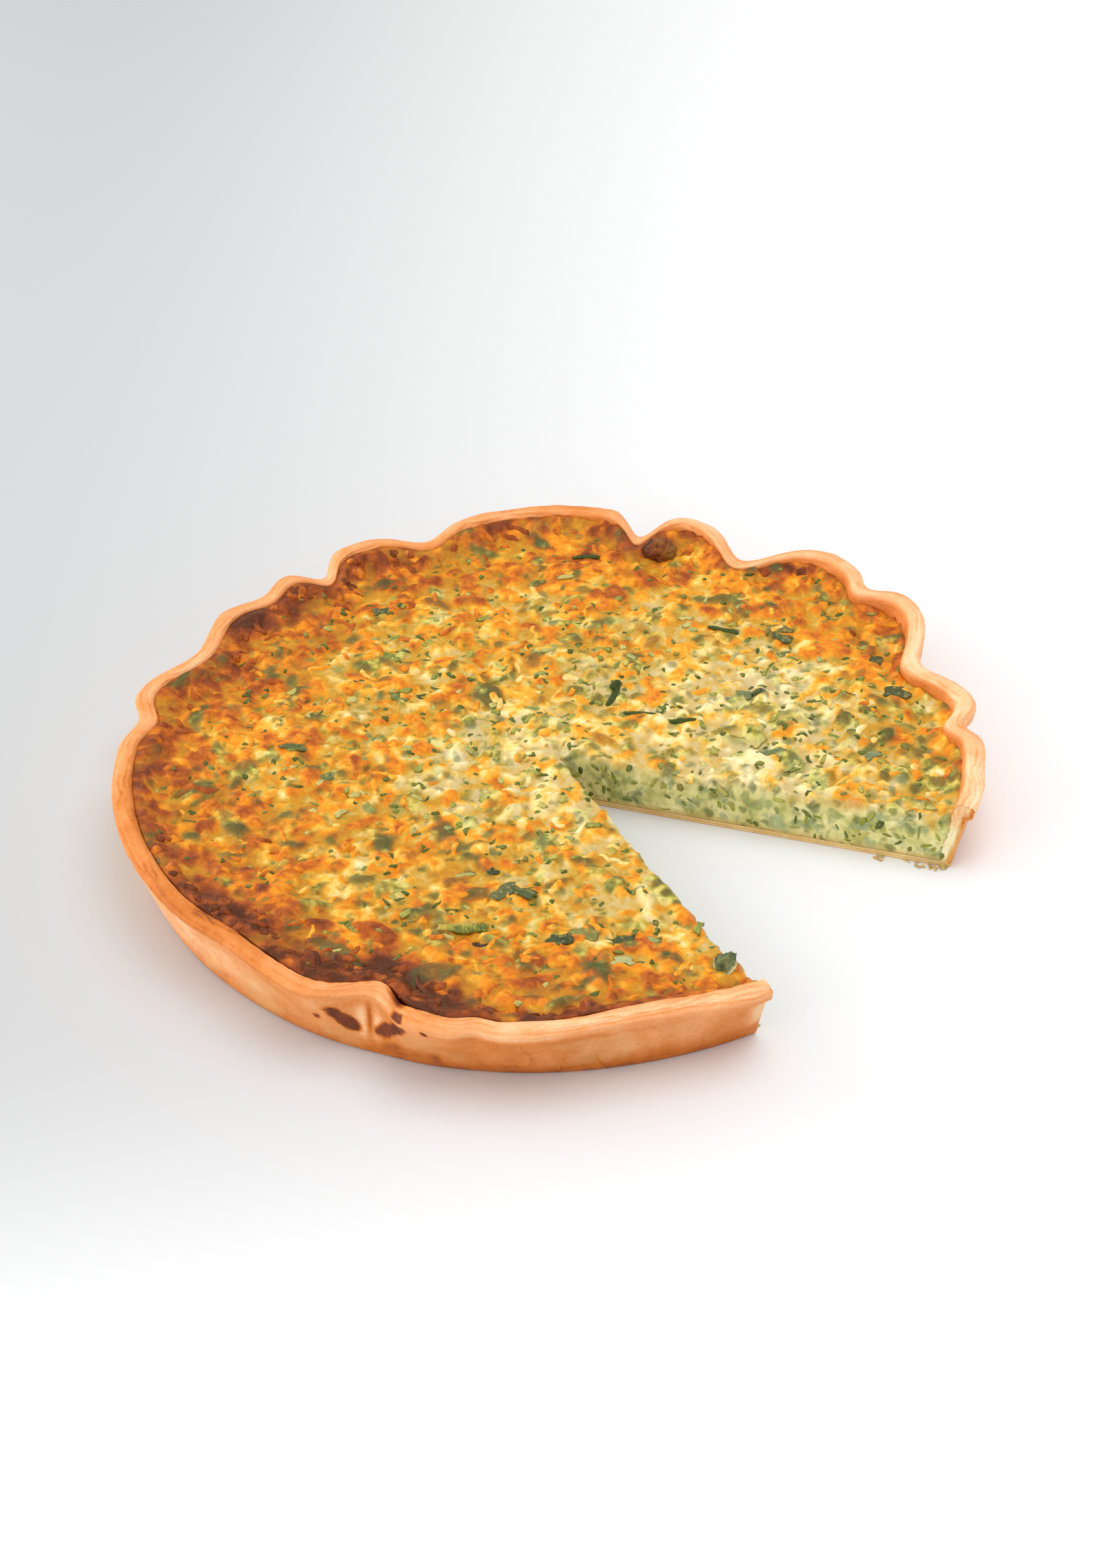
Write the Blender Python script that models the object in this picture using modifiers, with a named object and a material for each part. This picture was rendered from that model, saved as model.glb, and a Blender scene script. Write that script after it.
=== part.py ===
"""A round savoury tart: a folded pastry case full of baked custard, with one slice taken out.

Metres, +Z up. The origin is the middle of the case, on the face that it rests on, and +X runs
out through the middle of the missing slice. Azimuths are in degrees from +X, anticlockwise.
"""
import math

import bmesh
import bpy
from mathutils import Matrix, Vector

COLLECTION = "quiche"

# The case
RIM_RADIUS = 0.1400         # outside of the rim, before its folds
RIM_HEIGHT = 0.0252         # top of the rim
RIM_WIDTH = 0.0068          # the folded edge, seen from above
RIM_DEPTH = 0.0050          # how far the folded edge hangs down outside
RIM_GROOVE = 0.0007         # the line between the two layers of the folded edge
FOOT_RADIUS = 0.1336        # outside of the case where it meets the table
FOOT_ROUND = 0.0012         # rounding between the foot and the wall
WALL = 0.0045
FLOOR = 0.0030
INNER_CORNER = 0.0022       # rounding between the wall and the floor, inside

# The filling
FILLING_HEIGHT = 0.0187     # its top, in the middle
FILLING_SWELL = 0.0005      # height of its gentle lumps
EDGE_RISE = 0.0024          # how far it has risen against the case on the browner side
EDGE_BAND = 0.0360          # the width of the band that has risen
EDGE_ROUND = 0.0012         # how far its edge rolls down to the case
BROWN_SIDE = 230.0          # azimuth of the browner side

# The missing slice
SLICE_ANGLE = 44.8
SLICE_TIP = (0.0037, 0.0004)
SLICE_REACH = 0.1700        # from the tip to well past the rim

GAP = 0.0003                # between pieces that touch
STEPS = 168                 # divisions round the case
BLANK_RINGS = 5             # bands down the side of the disc that the filling is cut from

# Inward folds of the rim: azimuth, half width, push inwards in mm, drop of the rim in mm
FOLDS = (
    (41.0, 2.6, 5.6, 0.6),
    (56.8, 6.2, 11.2, 0.4),
    (77.5, 3.0, 5.0, 0.3),
    (98.6, 5.6, 13.6, 3.4),
    (116.8, 3.0, 10.5, 4.0),
    (151.3, 4.8, 8.0, 2.2),
    (169.6, 3.2, 9.2, 2.8),
    (180.0, 4.4, 5.2, 0.8),
    (196.4, 7.2, 7.2, 0.6),
    (214.5, 3.6, 4.2, 0.2),
    (267.0, 6.0, 2.2, 0.1),
    (289.4, 4.2, 7.0, 0.5),
    (303.0, 1.8, 2.0, 0.2),
)

# Outward swells of the rim between the folds: azimuth, half width, push outwards in mm
SWELLS = (
    (27.0, 5.0, 0.8),
    (71.5, 5.5, 4.6),
    (86.0, 6.5, 4.4),
    (131.0, 8.0, 2.2),
    (208.0, 4.5, 1.8),
    (238.0, 16.0, 1.0),
    (280.5, 4.0, 1.6),
    (300.0, 8.0, 4.0),
    (311.0, 8.0, 3.4),
    (337.0, 9.0, 3.6),
)

# The browned knot of leek near the back of the rim
KNOT_AZIMUTH = 112.2
KNOT_RADIUS = 0.1205        # from the middle of the case
KNOT_SIZE = (0.0062, 0.0048, 0.0042)    # half lengths: round the rim, towards it, and up
KNOT_SUNK = 0.0010          # its middle is this far above the filling

# The flat strip of leek near the front of the rim
STRIP_CENTRE = (0.0400, -0.0838)
STRIP_TURN = 41.0
STRIP_SIZE = (0.0150, 0.0046, 0.0014)
STRIP_PROUD = 0.0007        # how much of its thickness is above the filling
STRIP_ROUND = 0.0004

# The curled slice of leek at the edge of the front cut
CURL_CENTRE = (0.1122, -0.0482)
CURL_SIZE = (0.0044, 0.0033, 0.0013)    # half lengths: along the cut, across it, and thick
CURL_TILT = 38.0            # its cut side stands up
CURL_RISE = 0.0011


def bell(azimuth, middle, half_width):
    """1 on the middle azimuth, falling to 1/e at the half width, the short way round."""
    away = (azimuth - middle + 180.0) % 360.0 - 180.0
    return math.exp(-(away / half_width) ** 2)


def ease(value):
    """A smooth step: 0 below 0, 1 above 1, with flat ends."""
    value = min(max(value, 0.0), 1.0)
    return value * value * (3.0 - 2.0 * value)


def rim_push(azimuth):
    """How far the rim stands out of the plain circle, in metres: its swells less its folds."""
    outwards = sum(push * bell(azimuth, middle, width) for middle, width, push in SWELLS)
    inwards = sum(push * bell(azimuth, middle, width) for middle, width, push, _ in FOLDS)
    return (outwards - inwards) * 0.001


def rim_drop(azimuth):
    """How far the rim is pressed down, in metres, which is only at the folds."""
    return sum(drop * bell(azimuth, middle, width) for middle, width, _, drop in FOLDS) * 0.001


def folded(point):
    """A point of the turned form, moved as the folds move it.

    The move grows from nothing at the foot to all of it at the rim, and from nothing on the
    inner floor to all of it at the wall. The rim is also pressed down at its folds.
    """
    radius = math.hypot(point.x, point.y)
    if radius < 1e-6:
        return point.copy()
    azimuth = math.degrees(math.atan2(point.y, point.x))
    up_the_wall = ease(0.12 + 0.88 * point.z / RIM_HEIGHT) if point.z > 0 else 0.0
    out_to_wall = ease((radius - 0.070) / (FOOT_RADIUS - WALL - 0.070))
    new_radius = radius + rim_push(azimuth) * up_the_wall * out_to_wall
    near_the_top = ease((point.z / RIM_HEIGHT - 0.45) / 0.5) * ease((radius - 0.105) / 0.022)
    drop = rim_drop(azimuth) * near_the_top
    scale = new_radius / radius
    return Vector((point.x * scale, point.y * scale, point.z - drop))


def filling_top(x, y):
    """Height of the filling's top: level, with slow lumps, and risen on the browner side."""
    radius = math.hypot(x, y)
    azimuth = math.degrees(math.atan2(y, x))
    lumps = math.sin(61.0 * x + 1.3) * math.cos(53.0 * y - 0.4) + 0.6 * math.sin(97.0 * (x + y))
    side = 0.5 + 0.5 * math.cos(math.radians(azimuth - BROWN_SIDE))
    edge = ease((radius - (FOOT_RADIUS - WALL - EDGE_BAND)) / EDGE_BAND)
    return FILLING_HEIGHT + FILLING_SWELL * lumps + EDGE_RISE * ease(1.6 * side) * edge


def arc(centre, radius, start, end, count):
    """Points along an arc in the profile's plane, from start to end in degrees."""
    angles = [math.radians(start + (end - start) * step / count) for step in range(count + 1)]
    return [(centre[0] + radius * math.cos(a), centre[1] + radius * math.sin(a)) for a in angles]


def inner_wall(height):
    """Radius of the inside of the case's wall at a height."""
    lean = (RIM_RADIUS - RIM_WIDTH - FOOT_RADIUS + WALL) / RIM_HEIGHT
    return FOOT_RADIUS - WALL + lean * height


def case_profile(clearance):
    """The case from the middle of its floor, up inside, over the rim and down to its foot.

    The clearance moves the inside of the floor and wall inwards.
    """
    top = RIM_HEIGHT
    floor_top = FLOOR + clearance
    corner = (inner_wall(floor_top) - INNER_CORNER - clearance, floor_top + INNER_CORNER)
    inside = arc(corner, INNER_CORNER, -90.0, -8.0, 2)
    inside += [(inner_wall(height) - clearance, height) for height in (0.42 * top, 0.66 * top)]
    lip = inner_wall(top) - clearance
    rim = [
        (lip, top - 0.0018),
        (lip + 0.0012, top - 0.0002),
        (lip + 0.47 * RIM_WIDTH, top - RIM_GROOVE),
        (RIM_RADIUS - 0.0016, top),
        (RIM_RADIUS, top - 0.0014),
        (RIM_RADIUS - 0.0006, top - RIM_DEPTH),
        (inner_wall(top - RIM_DEPTH) + WALL + 0.0004, top - RIM_DEPTH - 0.0012),
    ]
    waist = [(inner_wall(0.38 * top) + WALL, 0.38 * top)]
    foot = arc((FOOT_RADIUS - FOOT_ROUND, FOOT_ROUND), FOOT_ROUND, 0.0, -90.0, 2)
    return [(0.0, floor_top)] + inside + rim + waist + foot + [(0.0, 0.0)]


def filling_blank_profile():
    """A disc from the middle of its top to the middle of the case's wall and floor.

    The case is cut out of it, which leaves the filling.
    """
    edge = FILLING_HEIGHT - EDGE_ROUND
    top = [(radius, FILLING_HEIGHT) for radius in (0.0, 0.040, 0.072, 0.100, 0.120)]
    roll = [(inner_wall(FILLING_HEIGHT) - 0.0024, FILLING_HEIGHT - 0.2 * EDGE_ROUND)]
    bottom = 0.5 * FLOOR
    heights = [edge + (bottom - edge) * ring / BLANK_RINGS for ring in range(BLANK_RINGS + 1)]
    side = [(inner_wall(height) + 0.4 * WALL, height) for height in heights]
    return top + roll + side + [(0.0, bottom)]


def turned(name, profile):
    """A solid mesh: the profile turned once about Z by a Screw modifier, seams merged.

    Each band is split into triangles the same way, so two forms that are folded alike stay a
    fixed distance apart.
    """
    mesh = bpy.data.meshes.new(name + "_profile")
    edges = [(index, index + 1) for index in range(len(profile) - 1)]
    mesh.from_pydata([(radius, 0.0, height) for radius, height in profile], edges, [])
    guide = bpy.data.objects.new(name + "_profile", mesh)
    bpy.context.scene.collection.objects.link(guide)
    screw = guide.modifiers.new("turn", "SCREW")
    screw.axis = "Z"
    screw.angle = math.tau
    screw.steps = STEPS
    screw.render_steps = STEPS
    screw.use_merge_vertices = True
    screw.merge_threshold = 0.00001
    screw.use_smooth_shade = True
    graph = bpy.context.evaluated_depsgraph_get()
    solid = bpy.data.meshes.new_from_object(guide.evaluated_get(graph))
    solid.name = name
    form = bmesh.new()
    form.from_mesh(solid)
    bmesh.ops.triangulate(form, faces=form.faces, quad_method="FIXED")
    form.to_mesh(solid)
    form.free()
    bpy.data.objects.remove(guide)
    bpy.data.meshes.remove(mesh)
    return solid


def material(name, colour, roughness):
    """A plain Principled finish."""
    finish = bpy.data.materials.new(name)
    finish.use_nodes = True
    shader = finish.node_tree.nodes["Principled BSDF"]
    shader.inputs["Base Color"].default_value = (*colour, 1.0)
    shader.inputs["Roughness"].default_value = roughness
    shader.inputs["Metallic"].default_value = 0.0
    finish.diffuse_color = (*colour, 1.0)
    return finish


def add_piece(name, mesh, collection, finish):
    """An object for one piece, in the collection, with its material."""
    piece = bpy.data.objects.new(name, mesh)
    collection.objects.link(piece)
    mesh.materials.clear()
    mesh.materials.append(finish)
    return piece


def add_cutter(name, mesh, collection):
    """A hidden object that only cuts others."""
    cutter = bpy.data.objects.new(name, mesh)
    collection.objects.link(cutter)
    cutter.hide_render = True
    cutter.display_type = "WIRE"
    return cutter


def cut(piece, cutter):
    """Takes the cutter's shape out of the piece."""
    boolean = piece.modifiers.new(cutter.name, "BOOLEAN")
    boolean.operation = "DIFFERENCE"
    boolean.solver = "EXACT"
    boolean.object = cutter


def slice_wedge(name):
    """The missing slice as a tall three-sided prism, its tip on the tip of the slice.

    An even triangle's tip has a half angle of 30 degrees, so its width is scaled to the angle
    of the slice.
    """
    mesh = bpy.data.meshes.new(name)
    form = bmesh.new()
    reach = SLICE_REACH / 1.5
    bmesh.ops.create_cone(form, cap_ends=True, segments=3, radius1=reach, radius2=reach,
                          depth=3.0 * RIM_HEIGHT)
    half = math.radians(0.5 * SLICE_ANGLE)
    narrow = math.tan(half) / math.tan(math.radians(30.0))
    place = Matrix.Translation((SLICE_TIP[0] + reach, SLICE_TIP[1], 0.5 * RIM_HEIGHT))
    place @= Matrix.Diagonal((1.0, narrow, 1.0, 1.0)) @ Matrix.Rotation(0.5 * math.pi, 4, "Z")
    form.transform(place)
    form.to_mesh(mesh)
    form.free()
    return mesh


def lump(name, half_lengths, place, grow, segments, waviness):
    """A rounded lump: a sphere scaled to its half lengths, its surface gently uneven."""
    mesh = bpy.data.meshes.new(name)
    form = bmesh.new()
    bmesh.ops.create_uvsphere(form, u_segments=segments, v_segments=segments // 2, radius=1.0)
    for vert in form.verts:
        unit = vert.co.normalized()
        uneven = 1.0 + waviness * math.sin(5.0 * unit.x + 2.0) * math.cos(4.0 * unit.y - 3.0 * unit.z)
        vert.co = Vector([unit[axis] * (half_lengths[axis] * uneven + grow) for axis in range(3)])
    form.transform(place)
    form.to_mesh(mesh)
    form.free()
    mesh.shade_smooth()
    return mesh


def strip(name, place, grow):
    """A flat strip with softened edges, all its faces moved outwards by grow."""
    mesh = bpy.data.meshes.new(name)
    form = bmesh.new()
    bmesh.ops.create_cube(form, size=1.0)
    bmesh.ops.scale(form, verts=form.verts, vec=[side + 2.0 * grow for side in STRIP_SIZE])
    bmesh.ops.bevel(form, geom=form.edges, offset=STRIP_ROUND, segments=1, profile=0.5,
                    affect="EDGES")
    form.transform(place)
    form.to_mesh(mesh)
    form.free()
    return mesh


def knot_place():
    """Where the knot is, turned to lie along the rim."""
    azimuth = math.radians(KNOT_AZIMUTH)
    x = KNOT_RADIUS * math.cos(azimuth)
    y = KNOT_RADIUS * math.sin(azimuth)
    height = filling_top(x, y) + KNOT_SUNK
    return Matrix.Translation((x, y, height)) @ Matrix.Rotation(azimuth + 0.5 * math.pi, 4, "Z")


def strip_place():
    """Where the strip is, mostly sunk in the filling."""
    height = filling_top(*STRIP_CENTRE) + STRIP_PROUD - 0.5 * STRIP_SIZE[2]
    turn = Matrix.Rotation(math.radians(STRIP_TURN), 4, "Z")
    return Matrix.Translation((*STRIP_CENTRE, height)) @ turn


def curl_place():
    """Where the curled slice is, along the front cut, with its cut side up."""
    height = filling_top(*CURL_CENTRE) + CURL_RISE
    along = Matrix.Rotation(math.radians(-0.5 * SLICE_ANGLE), 4, "Z")
    tilt = Matrix.Rotation(math.radians(CURL_TILT), 4, "X")
    return Matrix.Translation((*CURL_CENTRE, height)) @ along @ tilt


def case_mesh(name, clearance):
    """The case with its folds, before it is cut."""
    mesh = turned(name, case_profile(clearance))
    for vert in mesh.vertices:
        vert.co = folded(vert.co)
    return mesh


def filling_blank(name):
    """The disc that the filling is cut from: its top made uneven, its edge folded as the case."""
    mesh = turned(name, filling_blank_profile())
    for vert in mesh.vertices:
        if vert.co.z > 0.5 * FILLING_HEIGHT:
            vert.co.z += filling_top(vert.co.x, vert.co.y) - FILLING_HEIGHT
        vert.co = folded(vert.co)
    return mesh


def main():
    """Clears the file and builds the tart."""
    for item in list(bpy.data.objects):
        bpy.data.objects.remove(item)
    collection = bpy.data.collections.new(COLLECTION)
    cutters = bpy.data.collections.new(COLLECTION + "_cutters")
    bpy.context.scene.collection.children.link(collection)
    bpy.context.scene.collection.children.link(cutters)

    wedge = add_cutter("slice_cutter", slice_wedge("slice_cutter"), cutters)
    room = add_cutter("case_room", case_mesh("case_room", GAP), cutters)
    pastry = material("baked_pastry", (0.76, 0.43, 0.19), 0.62)
    crust = add_piece("crust", case_mesh("crust", 0.0), collection, pastry)
    cut(crust, wedge)

    brown = material("browned_leek", (0.16, 0.07, 0.03), 0.45)
    green = material("green_leek", (0.16, 0.20, 0.06), 0.45)
    dark = material("dark_leek", (0.09, 0.11, 0.05), 0.40)
    knot = lump("browned_knot", KNOT_SIZE, knot_place(), 0.0, 16, 0.10)
    curl = lump("leek_curl", CURL_SIZE, curl_place(), 0.0, 12, 0.0)
    add_piece("browned_knot", knot, collection, brown)
    add_piece("leek_strip", strip("leek_strip", strip_place(), 0.0), collection, green)
    add_piece("leek_curl", curl, collection, dark)
    pockets = [
        add_cutter("knot_pocket", lump("knot_pocket", KNOT_SIZE, knot_place(), GAP, 16, 0.10), cutters),
        add_cutter("strip_pocket", strip("strip_pocket", strip_place(), GAP), cutters),
        add_cutter("curl_pocket", lump("curl_pocket", CURL_SIZE, curl_place(), GAP, 12, 0.0), cutters),
    ]
    custard = material("baked_custard", (0.78, 0.55, 0.20), 0.50)
    filling = add_piece("filling", filling_blank("filling"), collection, custard)
    for cutter in [room, wedge] + pockets:
        cut(filling, cutter)


main()
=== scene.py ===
import math

import bmesh
import bpy
import numpy as np
from mathutils import Matrix, Vector


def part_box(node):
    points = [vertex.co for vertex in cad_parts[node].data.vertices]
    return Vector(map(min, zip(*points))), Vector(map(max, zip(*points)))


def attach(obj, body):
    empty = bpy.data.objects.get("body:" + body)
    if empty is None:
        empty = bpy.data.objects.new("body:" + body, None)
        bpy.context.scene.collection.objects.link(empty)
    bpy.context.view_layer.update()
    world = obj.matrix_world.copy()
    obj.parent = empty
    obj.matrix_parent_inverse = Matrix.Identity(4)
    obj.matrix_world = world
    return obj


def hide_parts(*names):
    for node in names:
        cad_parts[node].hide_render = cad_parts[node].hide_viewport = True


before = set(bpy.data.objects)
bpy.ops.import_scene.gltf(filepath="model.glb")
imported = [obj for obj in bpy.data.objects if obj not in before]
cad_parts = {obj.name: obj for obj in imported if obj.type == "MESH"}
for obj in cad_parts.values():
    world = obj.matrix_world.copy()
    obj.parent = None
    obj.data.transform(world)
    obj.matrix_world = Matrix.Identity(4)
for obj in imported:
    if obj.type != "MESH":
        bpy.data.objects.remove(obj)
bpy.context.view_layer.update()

# Looks of a quiche: baked custard with cheese, leek and chives in a hand-folded pastry case.
#
# Metres, +Z up, origin in the middle of the case on the face that it rests on. +X runs out
# through the middle of the missing slice. Azimuths are in degrees from +X, anticlockwise.
# Every surface is worked out on whole arrays: a grid of bearings from the slice's tip by steps
# along a section, or one small form repeated at many places.

MM = 0.001

# The case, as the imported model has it
RIM_RADIUS = 0.1400         # outside of the rim, before its folds
RIM_HEIGHT = 0.0252
RIM_WIDTH = 0.0068
RIM_DEPTH = 0.0050          # how far the folded edge hangs down outside
FOOT_RADIUS = 0.1336        # outside of the case where it meets the table
FOOT_ROUND = 0.0012
WALL = 0.0045
BASE = 0.0019               # the floor, thinner here than the model's 3 mm
INNER_CORNER = 0.0022
FILLING_HEIGHT = 0.0187
FILLING_SWELL = 0.0005      # the slow lumps of the filling's top
EDGE_RISE = 0.0024          # how far the top rises to the wall on the browner side
EDGE_BAND = 0.0360          # how wide the band is that rises
SLICE_ANGLE = 44.8
HALF_SLICE = 0.5 * SLICE_ANGLE
SLICE_TIP = np.array((0.0037, 0.0004))

# Sides, by azimuth
BROWN_SIDE = 230.0          # where the filling is risen most
BACK_SIDE = 60.0            # where the inside of the rim is browner
LEEKY_EDGE = 44.0           # where much of the filling by the wall is leek
LEEKY_FRONT = 308.0         # where a little more of the filling is leek

# Inward folds of the rim: azimuth, half width, push inwards in mm, drop of the rim in mm
FOLDS = np.array((
    (41.0, 2.6, 5.6, 0.6),
    (56.8, 6.2, 11.2, 0.4),
    (77.5, 3.0, 5.0, 0.3),
    (98.6, 5.6, 13.6, 3.4),
    (116.8, 3.0, 10.5, 4.0),
    (151.3, 4.8, 8.0, 2.2),
    (169.6, 3.2, 9.2, 2.8),
    (180.0, 4.4, 5.2, 0.8),
    (196.4, 7.2, 7.2, 0.6),
    (214.5, 3.6, 4.2, 0.2),
    (267.0, 6.0, 2.2, 0.1),
    (289.4, 4.2, 7.0, 0.5),
    (303.0, 1.8, 2.0, 0.2),
))

# Outward swells of the rim between the folds: azimuth, half width, push outwards in mm
SWELLS = np.array((
    (27.0, 5.0, 0.8),
    (71.5, 5.5, 4.6),
    (86.0, 6.5, 4.4),
    (131.0, 8.0, 2.2),
    (208.0, 4.5, 1.8),
    (238.0, 16.0, 1.0),
    (280.5, 4.0, 1.6),
    (300.0, 8.0, 4.0),
    (311.0, 8.0, 3.4),
    (337.0, 9.0, 3.6),
))

# Fineness
CASE_COLUMNS = 1080         # bearings round the case
TOP_COLUMNS = 768           # bearings round the filling's outer half
TOP_RINGS = 160             # steps from the slice's tip to the wall
SIDE_STEP = 4               # top columns for each column of the filling's side
CUT_ROWS = 22               # steps down a cut face
TRACE_STEPS = 400           # points that a section's line is rounded with
MAP_PITCH = 0.0004          # of the map that the filling's relief is worked out on
MAP_HALF = 0.1440           # half the side of that map


# ---------------------------------------------------------------- sums on whole arrays

def ease(value):
    """A smooth step: 0 below 0, 1 above 1, three squares less two cubes between."""
    value = np.clip(value, 0.0, 1.0)
    return value * value * (3.0 - 2.0 * value)


def bell(away, half_width):
    """1 at the middle and falling away on both sides: e to the minus square of the distance
    over the half width."""
    return np.exp(-(away / half_width) ** 2)


def bells(azimuth, rows, column):
    """The sum over the rows of a table of its column times a bell round each azimuth."""
    away = (azimuth[..., None] - rows[:, 0] + 180.0) % 360.0 - 180.0
    return (rows[:, column] * bell(away, rows[:, 1])).sum(-1)


def rim_push(azimuth):
    """How far the rim stands out of the plain circle: its swells less its folds."""
    return (bells(azimuth, SWELLS, 2) - bells(azimuth, FOLDS, 2)) * MM


def rim_drop(azimuth):
    """How far the rim is pressed down at its folds."""
    return bells(azimuth, FOLDS, 3) * MM


def chance(ix, iy, iz, seed):
    """A repeatable value from 0 to 1 for each whole-number corner: its numbers mixed by
    products, shifts and exclusive ors."""
    mixed = (ix * 374761393 + iy * 668265263 + iz * 1440662683 + seed * 1274126177) & 0xFFFFFFFF
    mixed = ((mixed ^ (mixed >> 13)) * 1274126177) & 0xFFFFFFFF
    mixed = ((mixed ^ (mixed >> 16)) * 668265263) & 0xFFFFFFFF
    return ((mixed ^ (mixed >> 15)) & 0xFFFFFF) / 16777215.0


def grain(x, y, z, size, seed):
    """Smooth random values from 0 to 1 with lumps of one size: the values at the eight corners
    of each cell of a lattice, mixed by eased steps along the three axes."""
    place = [np.asarray(axis, dtype=np.float64) / size for axis in (x, y, z)]
    corner = [np.floor(axis).astype(np.int64) for axis in place]
    step = [ease(axis - low) for axis, low in zip(place, corner)]
    value = 0.0
    for dx in (0, 1):
        for dy in (0, 1):
            for dz in (0, 1):
                share = (step[0] if dx else 1.0 - step[0])
                share = share * (step[1] if dy else 1.0 - step[1])
                share = share * (step[2] if dz else 1.0 - step[2])
                value = value + share * chance(corner[0] + dx, corner[1] + dy, corner[2] + dz, seed)
    return value


def flat_grain(x, y, size, seed):
    """The same values on a plane, from the four corners of each square."""
    px = np.asarray(x, dtype=np.float64) / size
    py = np.asarray(y, dtype=np.float64) / size
    ix = np.floor(px).astype(np.int64)
    iy = np.floor(py).astype(np.int64)
    sx = ease(px - ix)
    sy = ease(py - iy)
    low = chance(ix, iy, 0, seed) * (1.0 - sx) + chance(ix + 1, iy, 0, seed) * sx
    high = chance(ix, iy + 1, 0, seed) * (1.0 - sx) + chance(ix + 1, iy + 1, 0, seed) * sx
    return low * (1.0 - sy) + high * sy


def layered(values, size, seed, layers):
    """Random values of one size, plus half as much at half the size, and so on, brought to 0
    to 1. One layer is values(size, seed)."""
    total = 0.0
    weight = 0.0
    for layer in range(layers):
        share = 0.5 ** layer
        total = total + share * values(size * share, seed + 31 * layer)
        weight += share
    return total / weight


def layered_grain(x, y, z, size, seed, layers):
    """Layered grain in space."""
    return layered(lambda fine, number: grain(x, y, z, fine, number), size, seed, layers)


def flat_layers(x, y, size, seed, layers):
    """Layered grain on a plane."""
    return layered(lambda fine, number: flat_grain(x, y, fine, number), size, seed, layers)


def softened(field, times):
    """A map with each point turned into the mean of itself and its neighbours, some times."""
    for _ in range(times):
        for axis in (0, 1):
            field = 0.5 * field + 0.25 * (np.roll(field, 1, axis) + np.roll(field, -1, axis))
    return field


def paint(code):
    """A linear colour from its six-figure code: the display curve undone in each channel."""
    shown = np.array([int(code[at:at + 2], 16) for at in (0, 2, 4)]) / 255.0
    return np.where(shown <= 0.04045, shown / 12.92, ((shown + 0.055) / 1.055) ** 2.4)


def shade_between(level, stops):
    """Linear colours at the levels, mixed between the stops on either side of each."""
    places = [place for place, _ in stops]
    colours = np.array([paint(code) for _, code in stops])
    return np.stack([np.interp(level, places, colours[:, channel]) for channel in range(3)], -1)


def mixed(first, second, amount):
    """The first colour array turned towards the second by an amount for each point."""
    return first + (second - first) * np.asarray(amount)[..., None]


# ---------------------------------------------------------------- the shape of the case

def inner_wall(height):
    """Radius of the inside of the case's wall at a height, before its folds."""
    lean = (RIM_RADIUS - RIM_WIDTH - FOOT_RADIUS + WALL) / RIM_HEIGHT
    return FOOT_RADIUS - WALL + lean * height


def up_the_wall(height):
    """How much of a fold's push there is at a height: none on the table, all at the rim."""
    return np.where(height > 0.0, ease(0.12 + 0.88 * height / RIM_HEIGHT), 0.0)


def azimuth_of(x, y):
    """Azimuth from 0 to 360 degrees."""
    return np.degrees(np.arctan2(y, x)) % 360.0


def wall_radius(azimuth, height):
    """Radius of the inside of the folded wall at an azimuth and a height."""
    return inner_wall(height) + rim_push(azimuth) * up_the_wall(height)


def reach(bearing, radius_at):
    """Points on rays from the slice's tip where their radius is radius_at(azimuth).

    Each ray is met with a circle about the middle: minus b plus the root of the radius squared
    less c, where b is the tip along the ray and c its squared distance from the ray. The
    azimuth changes with the point, so this is done four times over.
    """
    ray = ray_of(bearing)
    b = ray @ SLICE_TIP
    c = SLICE_TIP @ SLICE_TIP - b * b
    azimuth = bearing % 360.0
    for _ in range(4):
        wanted = radius_at(azimuth)
        along = np.sqrt(wanted * wanted - c) - b
        point = SLICE_TIP + ray * along[..., None]
        azimuth = azimuth_of(point[..., 0], point[..., 1])
    return point, azimuth


def filling_top(x, y):
    """Height of the filling's top without its crumbs: level, with slow lumps, and risen on the
    browner side."""
    radius = np.hypot(x, y)
    lumps = np.sin(61.0 * x + 1.3) * np.cos(53.0 * y - 0.4) + 0.6 * np.sin(97.0 * (x + y))
    side = 0.5 + 0.5 * np.cos(np.radians(azimuth_of(x, y) - BROWN_SIDE))
    edge = ease((radius - (FOOT_RADIUS - WALL - EDGE_BAND)) / EDGE_BAND)
    return FILLING_HEIGHT + FILLING_SWELL * lumps + EDGE_RISE * ease(1.6 * side) * edge


def traced(corners, spacing, count):
    """A set number of points, evenly spaced, along a line of straight pieces with its corners
    rounded: the line sampled finely, averaged over a window as long as the spacing, and sampled
    again."""
    corners = np.array(corners)
    length = np.concatenate(([0.0], np.cumsum(np.hypot(*np.diff(corners, axis=0).T))))
    fine = np.linspace(0.0, length[-1], TRACE_STEPS)
    line = np.stack([np.interp(fine, length, corners[:, axis]) for axis in (0, 1)], -1)
    window = max(3, int(spacing / (fine[1] - fine[0])) | 1)
    padded = np.pad(line, ((window // 2, window // 2), (0, 0)), mode="reflect", reflect_type="odd")
    cumulative = np.cumsum(np.vstack(([0.0, 0.0], padded)), axis=0)
    line = (cumulative[window:] - cumulative[:-window]) / window
    length = np.concatenate(([0.0], np.cumsum(np.hypot(*np.diff(line, axis=0).T))))
    even = np.linspace(0.0, length[-1], count)
    return np.stack([np.interp(even, length, line[:, axis]) for axis in (0, 1)], -1)


def arc(centre, radius, start, end, count):
    """Points along an arc, from start to end in degrees."""
    angles = np.radians(np.linspace(start, end, count))
    return [(centre[0] + radius * math.cos(a), centre[1] + radius * math.sin(a)) for a in angles]


def turned(x, y, angle):
    """Places turned about the origin by an angle in radians: x cos less y sin, and x sin plus
    y cos."""
    return x * np.cos(angle) - y * np.sin(angle), x * np.sin(angle) + y * np.cos(angle)


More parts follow.
